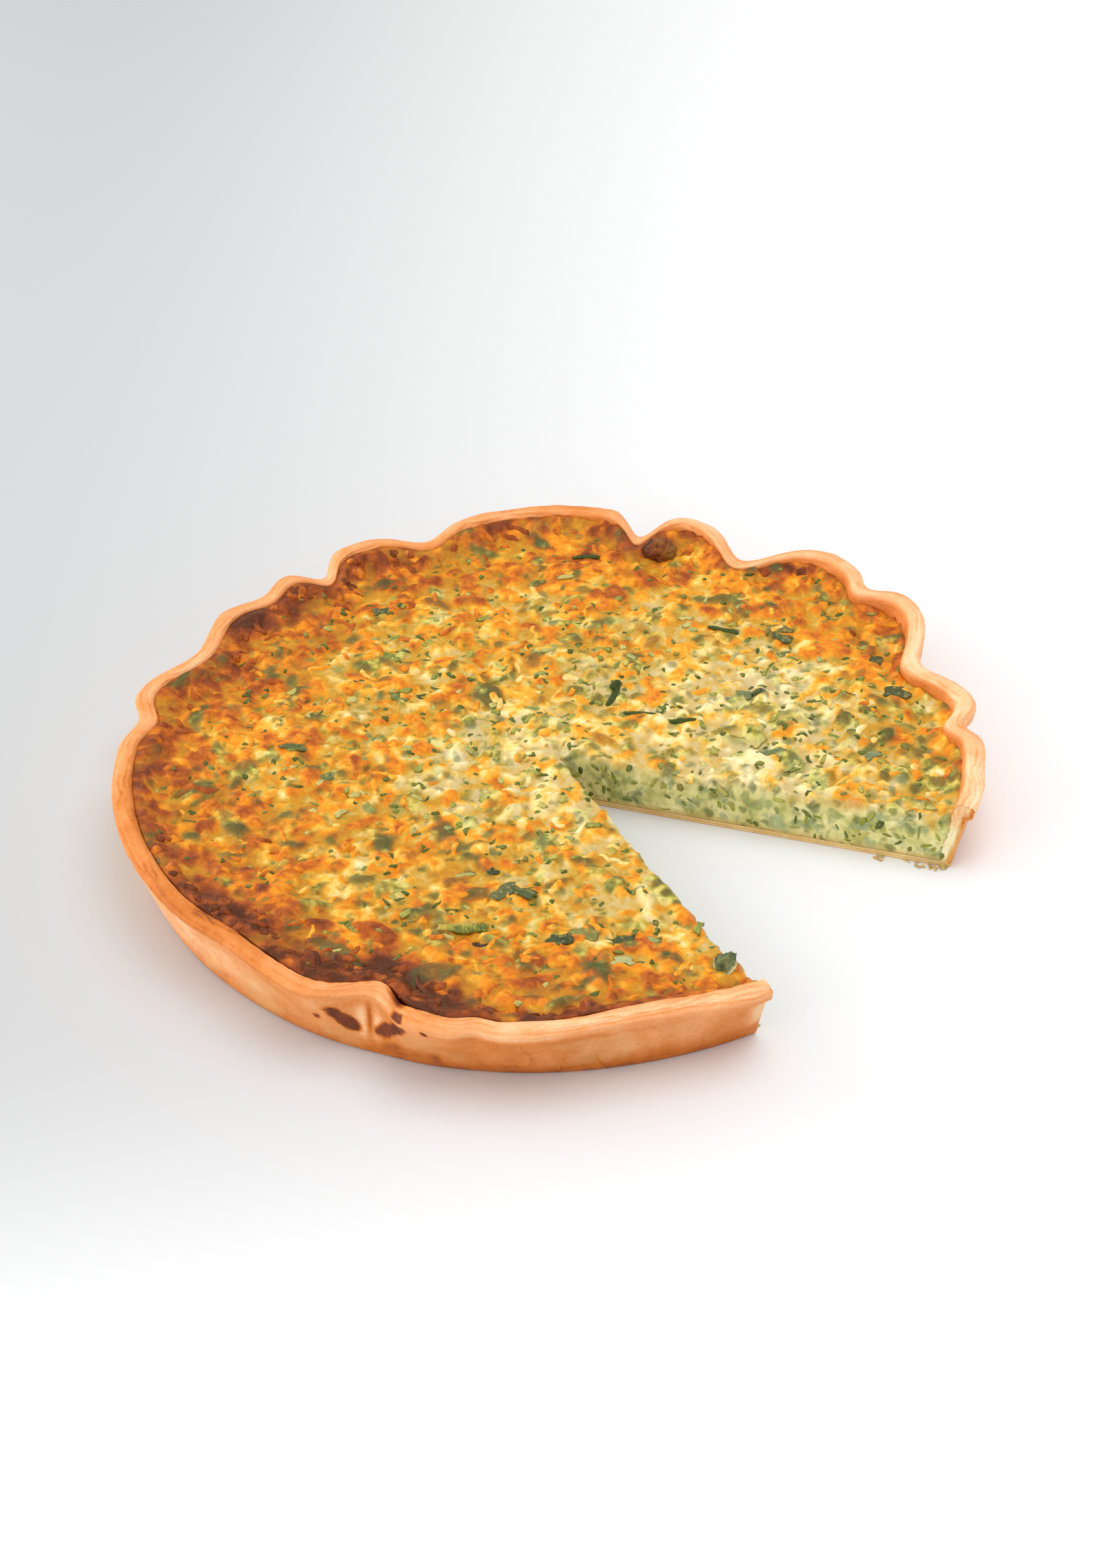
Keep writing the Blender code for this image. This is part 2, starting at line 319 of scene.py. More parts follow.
def ray_of(bearing):
    """The unit direction of a bearing in degrees."""
    return np.stack((np.cos(np.radians(bearing)), np.sin(np.radians(bearing))), -1)


def across_of(bearing):
    """The unit direction a quarter turn on from a bearing in degrees."""
    return np.stack((-np.sin(np.radians(bearing)), np.cos(np.radians(bearing))), -1)


def unit_square(rows, columns):
    """Two arrays over a grid: from -1 to 1 along its rows, and from -1 to 1 along its columns."""
    return np.meshgrid(np.linspace(-1.0, 1.0, rows), np.linspace(-1.0, 1.0, columns), indexing="ij")


# ---------------------------------------------------------------- meshes

def mesh_of(name, points, faces):
    """A mesh from an array of points and a list of arrays of faces, one array for each number
    of corners."""
    mesh = bpy.data.meshes.new(name)
    corners = np.concatenate([face.ravel() for face in faces]).astype(np.int32)
    sizes = np.concatenate([np.full(len(face), face.shape[1]) for face in faces])
    starts = np.concatenate(([0], np.cumsum(sizes)[:-1])).astype(np.int32)
    mesh.vertices.add(len(points))
    mesh.vertices.foreach_set("co", np.ascontiguousarray(points, dtype=np.float32).ravel())
    mesh.loops.add(len(corners))
    mesh.loops.foreach_set("vertex_index", corners)
    mesh.polygons.add(len(sizes))
    mesh.polygons.foreach_set("loop_start", starts)
    mesh.update(calc_edges=True)
    mesh.polygons.foreach_set("use_smooth", np.ones(len(sizes), dtype=bool))
    return mesh


def write_levels(mesh, **levels):
    """Each named array as an attribute of the points: colours if it has three columns."""
    for name, values in levels.items():
        values = np.asarray(values, dtype=np.float32)
        if values.ndim == 2:
            values = np.column_stack((values, np.ones(len(values), dtype=np.float32)))
            mesh.attributes.new(name, "FLOAT_COLOR", "POINT").data.foreach_set("color", values.ravel())
        else:
            mesh.attributes.new(name, "FLOAT", "POINT").data.foreach_set("value", values)


def write_layout(mesh, across, along):
    """A UV map of two arrays that have a value for each point."""
    corners = np.empty(len(mesh.loops), dtype=np.int32)
    mesh.loops.foreach_get("vertex_index", corners)
    pairs = np.stack((across[corners], along[corners]), -1).astype(np.float32)
    mesh.uv_layers.new(name="layout").data.foreach_set("uv", pairs.ravel())


def welded(mesh, distance=1e-6):
    """Points that lie together become one, and faces with no area go."""
    form = bmesh.new()
    form.from_mesh(mesh)
    bmesh.ops.remove_doubles(form, verts=form.verts, dist=distance)
    form.to_mesh(mesh)
    form.free()


def quads(rows, columns, first=0, flip=False):
    """The faces of a grid whose points are numbered along its rows from first."""
    corner = first + (np.arange(rows - 1)[:, None] * columns + np.arange(columns - 1)).ravel()
    face = np.stack((corner, corner + 1, corner + columns + 1, corner + columns), -1)
    return face[:, ::-1] if flip else face


def two_sheets(rows, columns):
    """The faces of two grids that meet round the edge, the upper one's points first."""
    return [quads(rows, columns, 0, flip=True), quads(rows, columns, rows * columns)]


def tube_faces(rings, sides, inward=False):
    """The faces of rings of points, and of the two fans that close them: at the point after the
    rings for the first ring, and at the next one for the last. Inward turns them all over."""
    around = np.arange(sides)
    after = (around + 1) % sides
    start = np.arange(rings - 1)[:, None] * sides
    bands = np.stack((start + around, start + after, start + sides + after,
                      start + sides + around), -1).reshape(-1, 4)
    count = rings * sides
    first = np.stack((np.full(sides, count), after, around), -1)
    last = np.stack((np.full(sides, count + 1), count - sides + around, count - sides + after), -1)
    if inward:
        return [bands[:, [0, 3, 2, 1]], first[:, [0, 2, 1]], last[:, [0, 2, 1]]]
    return [bands, first, last]


def place_piece(name, mesh, finish, node):
    """A piece at the origin that rides on the body and stands for a node, with its finish."""
    piece = bpy.data.objects.new(name, mesh)
    bpy.context.scene.collection.objects.link(piece)
    mesh.materials.append(finish)
    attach(piece, "root")
    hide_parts(node)


def tinted_piece(name, points, faces, tints, finish, node):
    """A single made piece with a tint for each of its points."""
    mesh = mesh_of(name, points, faces)
    write_levels(mesh, tint=tints)
    welded(mesh)
    place_piece(name, mesh, finish, node)


def directions(points):
    """The unit direction out of a grid of points: the product of its two slopes."""
    down = np.gradient(points, axis=0)
    along = np.gradient(points, axis=1)
    out = np.cross(along, down)
    size = np.linalg.norm(out, axis=-1, keepdims=True)
    return out / np.maximum(size, 1e-12)


# ---------------------------------------------------------------- the crust

CRUST_STOPS = (
    (0.00, "F7DFB8"),
    (0.18, "F5C492"),
    (0.36, "EEA268"),
    (0.52, "DE8A46"),
    (0.68, "CA7024"),
    (0.84, "8F4620"),
    (1.00, "522818"),
)

# Its crumb, where it is cut: level, colour
CRUMB_STOPS = (
    (0.00, "FFF4D2"),
    (0.20, "F2DFA8"),
    (0.45, "DDB26E"),
    (0.70, "DE9038"),
    (1.00, "9A5A20"),
)

# Burn marks on the outside: azimuth, height, half length and half height in mm, and how far
# each leans: along for each step up, and up for each step along
SCORCHES = (
    (285.5, 12.8, 4.4, 6.4, 0.62, 0.0),
    (291.9, 13.4, 7.6, 3.9, 0.0, 0.7),
    (293.4, 21.6, 3.2, 2.4, 0.0, 0.4),
    (282.0, 13.0, 1.3, 1.6, 0.0, 0.0),
    (297.2, 21.5, 1.6, 1.2, 0.0, 0.0),
)

# Streaks on the outside of that fold: azimuth, half width in degrees, height and half height
# in mm, level
STREAKS = (
    (287.5, 0.75, 12.5, 6.5, 0.02),
    (289.5, 0.75, 11.0, 5.5, 0.04),
    (288.5, 0.36, 15.0, 6.0, 0.80),
    (291.6, 2.2, 4.6, 3.2, 0.74),
    (295.0, 1.6, 5.5, 3.0, 0.74),
    (297.5, 0.7, 5.0, 3.0, 0.80),
    (300.0, 0.8, 3.4, 2.0, 0.74),
    (337.8, 1.5, 13.5, 7.0, 0.03),
    (337.8, 1.8, 2.6, 3.2, 0.66),
)

# How baked the rim's top and the outside are, from the slice round: azimuth, level, level.
# Partly painted light: the outside's levels are paler at 210 to 235, where the wall lies in shade.
CASE_BAKE_AND_LIGHT = np.array((
    (0.0, 0.22, 0.44),
    (60.0, 0.24, 0.42),
    (100.0, 0.32, 0.42),
    (128.0, 0.36, 0.42),
    (150.0, 0.38, 0.40),
    (185.0, 0.34, 0.30),
    (210.0, 0.34, 0.11),
    (235.0, 0.56, 0.18),
    (270.0, 0.61, 0.48),
    (285.0, 0.46, 0.53),
    (302.0, 0.32, 0.56),
    (332.0, 0.23, 0.56),
    (360.0, 0.22, 0.44),
))

# How far the wall is tucked in under the rim's outer edge: azimuth, share of the full step
TUCK = np.array((
    (0.0, 0.9),
    (22.0, 0.95),
    (60.0, 0.8),
    (110.0, 0.6),
    (180.0, 0.5),
    (200.0, 0.3),
    (250.0, 0.12),
    (300.0, 0.06),
    (314.0, 0.12),
    (324.0, 0.6),
    (333.0, 1.0),
    (360.0, 0.9),
))

# How far the thin loose edge of the folded dough stands out: azimuth, mm out, mm from the lip
FLAP = np.array((
    (0.0, 0.5, 8.4),
    (60.0, 0.4, 8.4),
    (180.0, 0.35, 8.2),
    (255.0, 0.30, 7.9),
    (288.0, 0.35, 7.6),
    (297.0, 0.60, 7.6),
    (318.0, 0.65, 7.7),
    (332.0, 0.55, 8.2),
    (360.0, 0.5, 8.4),
))

CROWN = (RIM_RADIUS - 0.0019, RIM_HEIGHT - 0.0001)
SHOULDER = RIM_HEIGHT - 0.0014
WAIST = 0.0125              # height where the inside's lower rows end and its upper ones start
LIP_DROP = 0.0034           # how far under the rim's top the inside starts to turn over
FLOOR_SHARES = np.array((0.0, 0.45, 0.88))     # of the way from the tip to the next row
FLOOR_ROWS = len(FLOOR_SHARES)
LOWER_ROWS = 5
UPPER_ROWS = 8
END_COLUMNS = 9             # points across a cut end
NOTCH = (292.8, 1.7, 0.0026)    # the short dip in the rim: azimuth, half width, depth
PLY_STEP = 2.0              # mm from one ply of the rim to the next
END_FOOT = 2.6              # mm of a cut end that are as baked as the floor
SPILL = (292.4, 2.4)        # the burnt filling on that dip: azimuth, half width
SPROUT = 0.0004             # the most that the relief may stand over the rim
SHARPEST = 62.0             # degrees; a sharper bend than this is shaded as an edge


def round_table(azimuth, table, column):
    """A column of a table read between its azimuths."""
    return np.interp(azimuth % 360.0, table[:, 0], table[:, column])


def slanted_wall(height):
    """Radius of a straight outside from the foot to the rim's outer edge."""
    return FOOT_RADIUS + (RIM_RADIUS - FOOT_RADIUS) * np.clip(height / SHOULDER, 0.0, 1.0)


def case_section():
    """The inside and the outside of the case's section, each from the floor to the rim's outer
    top edge.

    Both have the same number of points, so a cut end is the straight mix of one into the
    other. The first points stand for the floor and carry only a share of the way out.
    """
    top = RIM_HEIGHT
    corner = (inner_wall(BASE) - INNER_CORNER, BASE + INNER_CORNER)
    waist = (inner_wall(WAIST), WAIST)
    below_lip = (inner_wall(top - LIP_DROP), top - LIP_DROP)
    lip = inner_wall(top)
    lower = arc(corner, INNER_CORNER, -90.0, -8.0, 4) + [waist]
    over = [
        below_lip,
        (lip - 0.0001, top - 0.0021),
        (lip + 0.0011, top - 0.0002),
        (lip + 0.0030, top),
        CROWN,
    ]
    inside = np.vstack((
        traced(lower, 0.0004, LOWER_ROWS + 1)[:-1],
        traced([waist, below_lip], 0.0004, UPPER_ROWS + 1)[:-1],
        traced(over, 0.0013, 27),
    ))
    foot = arc((FOOT_RADIUS - FOOT_ROUND, FOOT_ROUND), FOOT_ROUND, -90.0, 0.0, 5)
    hang = (inner_wall(top - RIM_DEPTH) + WALL + 0.0004, top - RIM_DEPTH - 0.0012)
    wall = foot + [(inner_wall(0.45 * top) + WALL + 0.0005, 0.45 * top), hang]
    edge = [
        hang,
        (RIM_RADIUS - 0.0007, top - RIM_DEPTH),
        (RIM_RADIUS, SHOULDER),
        CROWN,
    ]
    outside = np.vstack((traced(wall, 0.0006, 19)[:-1], traced(edge, 0.0011, 22)))
    return inside, outside


def floor_rows(row, shares):
    """Rows between the slice's tip and a row of points, at shares of the way out."""
    return np.array([row * [share, share, 1.0] + np.append(SLICE_TIP * (1.0 - share), 0.0)
                     for share in shares])


def case_grid():
    """Points of the case on rays from the slice's tip: rows from the tip over the floor, up the
    inside, over the rim, down the outside and back under it.

    A section's point is pushed out by the folds as far as its height says, and pressed down
    near the top. Outside, it lies between the tucked wall and the straight one. Floor rows are
    shares of the way from the tip to the next row.
    """
    bearing = np.linspace(HALF_SLICE, 360.0 - HALF_SLICE, CASE_COLUMNS)
    inside, outside = case_section()
    section = np.vstack((inside, outside[::-1]))
    notch_at, notch_half, notch_depth = NOTCH
    rows = []
    for row, (radius, height) in enumerate(section):
        out = ease((radius - 0.070) / (FOOT_RADIUS - WALL - 0.070))
        filled = ease(height / 0.003) * (row >= len(inside)) * (height < SHOULDER)
        further = (slanted_wall(height) - radius) * filled

        def radius_at(azimuth):
            folded = rim_push(azimuth) * up_the_wall(np.array(height)) * out
            return radius + folded + further * (1.0 - round_table(azimuth, TUCK, 1))

        point, azimuth = reach(bearing, radius_at)
        near_top = ease((height / RIM_HEIGHT - 0.45) / 0.5) * ease((radius - 0.105) / 0.022)
        notch = notch_depth * bell(azimuth - notch_at, notch_half)
        level = height - (rim_drop(azimuth) + notch) * near_top
        rows.append(np.column_stack((point, level)))
    grid = np.array(rows)
    under = floor_rows(grid[-1], FLOOR_SHARES[::-1])
    under[..., 2] = 0.0
    return np.concatenate((floor_rows(grid[0], FLOOR_SHARES), grid, under)), bearing, section


def case_paths(azimuth, section):
    """Distances in mm on the case's surface for each point: over the section from the lip, and
    round the rim."""
    travel = np.concatenate(([0.0], np.cumsum(np.hypot(*np.diff(section, axis=0).T))))
    travel = (travel - travel[LOWER_ROWS + UPPER_ROWS]) / MM
    path = np.concatenate((np.full(FLOOR_ROWS, travel[0]), travel, np.full(FLOOR_ROWS, travel[-1])))
    return np.repeat(path[:, None], azimuth.shape[1], 1), np.radians(azimuth) * RIM_RADIUS / MM


def loose_edge(azimuth, path, round_rim):
    """The loose edge of the folded dough, in mm: how far each point is past it, how far the
    edge stands out there, and how deep the dough is cut in under it.

    The edge is a wavy line. The dough rises towards it and falls away past it.
    """
    level_line = 0.0 * round_rim
    wave = (flat_layers(round_rim, level_line, 15.0, 19, 3) - 0.5) * 2.2
    past = path - round_table(azimuth, FLAP, 2) - wave
    stands = round_table(azimuth, FLAP, 1) * (0.45 + 0.9 * flat_grain(round_rim, level_line, 27.0, 18))
    flap = stands * ease(-past / 0.35) * np.exp(np.minimum(past, 0.0) / 2.0)
    return past, flap, stands * bell(past - 0.30, 0.34)


def rim_plies(azimuth, path, round_rim, past):
    """The plies of the rim: how deep the valleys between them are, and how strong the plies
    are, both from 0 to 1.

    They are rounded ridges with sharp valleys, the root of the absolute sine of a wandering
    distance from the lip.
    """
    wander = (flat_layers(round_rim, 0.0 * round_rim, 18.0, 11, 3) - 0.5) * 5.0
    wander = wander + (flat_layers(round_rim, path, 5.5, 13, 2) - 0.5) * 2.4
    plies = np.abs(np.sin(math.pi * (path + wander - 0.6) / PLY_STEP)) ** 0.6
    strength = 0.08 + 0.92 * ease((flat_grain(round_rim, path * 3.0, 10.0, 15) - 0.42) / 0.36)
    lower_lip = round_table(azimuth, TUCK, 1) * ease((13.0 - path) / 2.0) * 0.4
    on_top = ease((path - 1.0) / 1.4) * np.maximum(ease((0.3 - past) / 0.8), lower_lip)
    return (1.0 - plies) * strength * on_top, strength * on_top


def wall_creases(z, round_rim):
    """Faint slanting creases down the outside, in patches: a saw of the distance round the
    rim, leaning with the height, and the crease at each of its teeth, both from 0 to 1."""
    lean = np.sin(round_rim / 61.0) * 0.9
    phase = round_rim / 17.0 + lean * (z / MM) / 9.0
    phase = phase + 2.2 * flat_layers(round_rim, z / MM, 21.0, 21, 3)
    saw = phase - np.floor(phase)
    crease = bell(saw - 0.04, 0.035) + bell(saw - 1.04, 0.035)
    patchy = ease((flat_grain(round_rim, z / MM, 26.0, 25) - 0.42) / 0.3)
    return saw, crease, patchy


def crust_piece(finish):
    """The pastry case: its section carried round from cut to cut, with the relief of folded,
    flaky pastry, and the two cut ends filled between the inside and the outside.

    The relief is the sum of slow waves, low blisters, the plies of the rim, its loose edge and
    faint creases down the outside.
    """
    grid, bearing, section = case_grid()
    rows, columns = grid.shape[:2]
    x, y, z = np.moveaxis(grid, -1, 0)
    azimuth = azimuth_of(x, y)
    path, round_rim = case_paths(azimuth, section)
    shown = np.zeros(rows)
    shown[FLOOR_ROWS + LOWER_ROWS + 1:FLOOR_ROWS + len(section) - 4] = 1.0
    shown = np.convolve(np.pad(shown, 2, mode="edge"), np.ones(5) / 5, mode="valid")[:, None]
    outer = ease((path - 12.0) / 4.0)
    inner = ease((1.2 - path) / 2.0)

    relief = (layered_grain(x, y, z, 0.016, 3, 3) - 0.5) * 1.2
    relief = relief + 0.35 * ease((grain(x, y, z, 0.0058, 5) - 0.60) / 0.3) * (0.35 + 0.65 * outer)
    relief = relief + 0.18 * (layered_grain(x, y, z, 0.0024, 8, 2) - 0.5)
    # The loose edge, the cut in under it and the valleys between the plies shape the relief, and also
    # paint the colour: a painted highlight on the edge, painted shade under it and in the valleys.
    past, flap, under_flap = loose_edge(azimuth, path, round_rim)
    valleys, plies = rim_plies(azimuth, path, round_rim, past)
    relief = relief - 0.40 * valleys + 0.08 * plies + 0.85 * flap - 0.50 * under_flap
    saw, crease, patchy = wall_creases(z, round_rim)
    relief = relief + outer * patchy * (0.26 * ease(saw) ** 2 - 0.24 * crease)
    relief = relief + inner * 0.5 * (layered_grain(x, y, z, 0.0045, 27, 2) - 0.5)
    grid = grid + directions(grid) * (relief * shown * MM)[..., None]
    grid[..., 2] = np.clip(grid[..., 2], 0.0, RIM_HEIGHT + SPROUT)
    grid[-FLOOR_ROWS - 1:, :, 2] = 0.0

    # Where the outside is creased: used for painted shade in the colour.
    creases = crease * patchy * outer
    bake = crust_bake(grid, azimuth, path, round_rim, valleys + under_flap, flap, creases)
    ends = np.array((0, columns - 1))
    bake[:, ends] = np.where(grid[:, ends, 2] < END_FOOT * MM, 0.36, bake[:, ends])
    points = [grid.reshape(-1, 3)]
    faces = [quads(rows, columns)]
    layout = [np.stack((round_rim, path), -1).reshape(-1, 2)]
    levels = [bake.ravel()]
    crumbs = [np.zeros(bake.size)]
    for end, side in ((0, -1.0), (columns - 1, 1.0)):
        cap, tone, crumb, place = cut_end(grid[:, end], bake[:, end], bearing[end], side)
        first = sum(len(part) for part in points)
        points.append(cap.reshape(-1, 3))
        faces.append(quads(*cap.shape[:2], first, flip=side > 0))
        layout.append(place.reshape(-1, 2))
        levels.append(tone.ravel())
        crumbs.append(crumb.ravel())
    mesh = mesh_of("pastry_case", np.concatenate(points), faces)
    write_levels(mesh, bake=np.concatenate(levels), crumb=np.concatenate(crumbs))
    write_layout(mesh, *(np.concatenate(layout) * MM).T)
    welded(mesh)
    mesh.set_sharp_from_angle(angle=math.radians(SHARPEST))
    place_piece("pastry_case", mesh, finish, "crust")


def cut_end(line, bake, bearing, side):
    """A cut end of the case: its points, mixed from the inside of the section to the outside
    and torn by up to a millimetre, how baked they are, how much they show crumb, and their
    places on it in mm.

    It is cream within and golden low down on the outside, with painted shade in the lines
    between the plies of the rim.
    """
    half_rows = len(line) // 2
    share = np.linspace(0.0, 1.0, END_COLUMNS)
    near = line[:half_rows]
    far = line[::-1][:half_rows]
    cap = near[:, None] * (1.0 - share)[:, None] + far[:, None] * share[:, None]
    normal = np.append(across_of(bearing) * side, 0.0)
    depth = 5.0 * share[None, :] + np.zeros((half_rows, 1))
    length = np.linspace(0.0, 45.0, half_rows)[:, None] + 0.0 * depth
    seed = 61 if side < 0 else 64
    height = cap[..., 2] / MM
    rough = flat_layers(depth * 1.6 + 0.05 * length, height, 2.4, seed, 3) - 0.5
    plies = np.abs(np.sin(math.pi * (depth * 0.8 + 0.35 * height))) ** 0.6
    torn = 2.2 * rough - 0.35 * (1.0 - plies) * (height > 16.0)
    cap = cap + normal * (torn * np.sin(math.pi * share) ** 0.5 * MM)[..., None]
    golden = ease((10.5 - height) / 4.0) * ease((share - 0.45) / 0.3) * ease((height - 1.0) / 1.5)
    if side < 0:
        golden = np.maximum(golden, 0.9 * ease((share - 0.62) / 0.25) * ease((height - 2.0) / 1.5))
    tone = 0.08 + 0.24 * rough + 0.55 * golden
    # Painted shade in the gaps between the plies, high up.
    tone = tone + (0.10 + 0.20 * (1.0 - plies)) * ease((height - 14.0) / 5.0)
    tone = tone + 0.28 * ease((END_FOOT - height) / 0.8)
    tone[:, 0] = bake[:half_rows]
    tone[:, -1] = bake[::-1][:half_rows]
    tall = cap[..., 2] / MM
    crumb = 1.0 - 0.7 * ease((tall - 14.0) / 6.0)
    crumb[:, [0, -1]] = (tall < END_FOOT)[:, [0, -1]]
    return cap, np.maximum(tone, 0.0), crumb, np.stack((depth, length), -1)


def scorched(level, x, y, z, azimuth, path, middle):
    """The level with the brown streaks, the scorch marks and the burnt spill at the fold in
    the front."""
    height = z / MM
    outer = ease((path - 10.0) / 3.0)
    for at, half_width, tall, half_height, streak_level in STREAKS:
        share = np.exp(-((azimuth - at) / half_width) ** 2 - ((height - tall) / half_height) ** 4)
        share = share * outer * (0.75 + 0.5 * middle)
        level = level + (streak_level + 0.3 * middle - level) * share
    ragged = 0.9 * (layered_grain(x, y, z, 0.0034, 81, 3) - 0.5)
    for at, tall, half_length, half_height, lean, rise in SCORCHES:
        off = (azimuth - at) * math.radians(1.0) * RIM_RADIUS / MM
        up = height - tall
        inside = 1.0 - np.hypot((off + lean * up) / half_length, (up - rise * off) / half_height)
        mark = 0.93 * ease((inside + ragged + 0.14) / 0.50) * ease((path - 6.0) / 2.0)
        level = np.maximum(level, mark)
    spill = bell(azimuth - SPILL[0], SPILL[1]) * ease((8.5 - path) / 4.0)
    return np.maximum(level, spill * (0.85 + 0.5 * middle))


def crust_bake(grid, azimuth, path, round_rim, valleys, flap, creases):
    """How baked each point of the pastry is, from 0, pale, to 1, burnt, with painted light added.

    Peach on the rim, with a painted highlight on its loose edge and painted shade in the valleys
    between its plies and under that edge; orange inside, brown where it meets the filling, partly
    baked-on brown and partly painted shade of the gap there; outside, cream patches high up, tan
    in the middle, golden at the foot and painted shade in its creases; scorch marks at the fold in
    the front.
    """
    x, y, z = np.moveaxis(grid, -1, 0)
    height = z / MM
    on_rim = ease((path - 0.8) / 1.4) * ease((13.0 - path) / 3.0)
    outer = ease((path - 10.0) / 3.0)
    inner = 1.0 - ease((path - 0.6) / 1.4)
    slow = layered_grain(x, y, z, 0.030, 71, 2) - 0.5
    middle = layered_grain(x, y, z, 0.0085, 73, 3) - 0.5
    streak = flat_layers(round_rim, path * 7.0, 26.0, 75, 3) - 0.5
    back = ease(1.6 * np.cos(np.radians(azimuth - BACK_SIDE)))

    level = 0.40 + 0.22 * slow + 0.20 * middle
    rim_level = round_table(azimuth, CASE_BAKE_AND_LIGHT, 1) + 0.24 * slow + 0.18 * middle + 0.26 * streak
    # Painted shade in the valleys between the plies, and a painted highlight on the loose edge.
    rim_level = rim_level + 0.22 * valleys - 0.20 * flap
    rim_level = rim_level + (0.12 + 0.20 * back) * ease((3.2 - path) / 2.0)
    level = level + (rim_level - level) * on_rim

    cream = ease((layered_grain(x, y, z * 0.8, 0.019, 77, 4) - 0.48) / 0.20)
    cream = cream * ease((height - 5.5) / 6.0)
    foot = ease((8.0 - height) / 7.0)
    # The table's outside levels hold painted light where the wall lies in shade.
    wall_level = round_table(azimuth, CASE_BAKE_AND_LIGHT, 2) + 0.14 * slow + 0.16 * middle
    wall_level = wall_level - 0.17 * cream + 0.16 * foot
    # Painted shade in the creases, in the valleys between the plies and under the loose edge.
    wall_level = wall_level + 0.10 * creases + 0.30 * valleys
    level = level + (wall_level - level) * outer * (1.0 - 0.6 * on_rim)

    # Browner down by the filling: partly baked-on brown, partly painted shade of the gap between the
    # wall and the filling.
    down = ease((filling_top(x, y) / MM + 2.6 - height) / 3.2)
    inner_level = 0.50 + 0.10 * back + 0.28 * down + 0.24 * middle + 0.2 * slow
    level = level + (inner_level - level) * inner
    return np.clip(scorched(level, x, y, z, azimuth, path, middle), 0.0, 1.0)


# ---------------------------------------------------------------- the filling

# From pale to burnt: level, colour
TOAST_STOPS = (
    (0.00, "EEE0AC"),
    (0.15, "F8DFA6"),
    (0.30, "F6CF7A"),
    (0.44, "F0B23C"),
    (0.58, "E8951C"),
    (0.72, "DB7E18"),
    (0.86, "BC6218"),
    (1.00, "A04C14"),
    (1.16, "823C14"),
    (1.40, "582A10"),
)

LEEK_STOPS = (
    (0.00, "D6CE80"),
    (0.30, "BFBC5C"),
    (0.50, "97993F"),
    (0.70, "717F3A"),
    (0.85, "56683A"),
    (1.00, "46582A"),
)

# Mounds of the filling's top: number, half length, half width and height in mm, and the
# half side of the square of the map that one may cover
MOUNDS = (
    (190, 8.0, 4.0, 1.40, 28),
    (800, 5.0, 2.7, 1.55, 19),
    (2100, 3.1, 1.9, 1.20, 12),
    (2000, 1.9, 1.2, 0.70, 7),
)

# How toasted the top is, from the slice round: azimuth, half way out, near the edge
TOASTED = np.array((
    (0.0, 0.24, 0.40),
    (22.0, 0.20, 0.46),
    (45.0, 0.19, 0.56),
    (80.0, 0.37, 0.62),
    (115.0, 0.47, 0.79),
    (150.0, 0.52, 0.77),
    (175.0, 0.55, 0.82),
    (205.0, 0.56, 0.76),
    (235.0, 0.56, 0.76),
    (265.0, 0.57, 0.80),
    (290.0, 0.565, 0.83),
    (315.0, 0.52, 0.79),
    (338.0, 0.40, 0.58),
    (360.0, 0.26, 0.40),
))

# How burnt the edge is, and how wide that band is in mm: azimuth, level, width
BURNT = np.array((
    (0.0, 0.05, 4.0),
    (22.0, 0.05, 4.0),
    (62.0, 0.30, 3.0),
    (80.0, 0.62, 4.0),
    (98.0, 0.50, 6.0),
    (112.0, 0.60, 7.0),
    (128.0, 0.15, 8.0),
    (148.0, 0.40, 8.0),
    (160.0, 0.66, 12.0),
    (176.0, 0.72, 14.0),
    (190.0, 0.56, 12.0),
    (200.0, 0.40, 11.0),
    (216.0, 0.42, 12.0),
    (232.0, 0.42, 10.0),
    (246.0, 0.55, 8.0),
    (256.0, 0.92, 13.0),
    (270.0, 1.00, 15.0),
    (284.0, 1.00, 19.0),
    (298.0, 1.00, 15.0),
    (308.0, 0.92, 12.0),
    (320.0, 0.82, 11.0),
    (334.0, 0.60, 8.0),
    (360.0, 0.05, 4.0),
))

# How far the filling climbs the wall, in mm, and over what width: azimuth, climb, width
CLIMB = np.array((
    (0.0, 1.8, 6.0),
    (22.0, 2.2, 7.0),
    (40.0, 2.6, 8.0),
    (52.0, 2.0, 8.0),
    (62.0, 1.6, 6.0),
    (84.0, 1.8, 7.0),
    (94.0, 2.0, 8.0),
    (104.0, 3.0, 9.0),
    (118.0, 3.6, 9.0),
    (150.0, 3.9, 9.0),
    (200.0, 3.9, 9.0),
    (250.0, 3.9, 9.0),
    (290.0, 4.6, 10.0),
    (310.0, 4.0, 8.0),
    (330.0, 3.8, 7.0),
    (345.0, 2.4, 5.0),
    (360.0, 1.8, 6.0),
))

KEY_STEPS = 10000.0         # steps of height in a millimetre, where mounds are sorted by it
WALL_SINK = 0.0005          # how far the filling reaches into the wall
BRIM = 0.0009               # how far it stays under the rim where it meets the wall
MIDDLE_TOAST = 0.30         # how toasted the middle is
TEAR = 1.6                  # mm that a cut's top edge is torn back by, at the most
TEAR_WIDTH = 6.0            # mm from the cut where that ends
STIR = 0.16                 # how far a mound's toasting may stray from its place's at full


def wall_at_top(azimuth):
    """Radius where the filling meets the wall, a little way into its crumb."""
    height = FILLING_HEIGHT + round_table(azimuth, CLIMB, 1) * MM
    return wall_radius(azimuth, height) + WALL_SINK


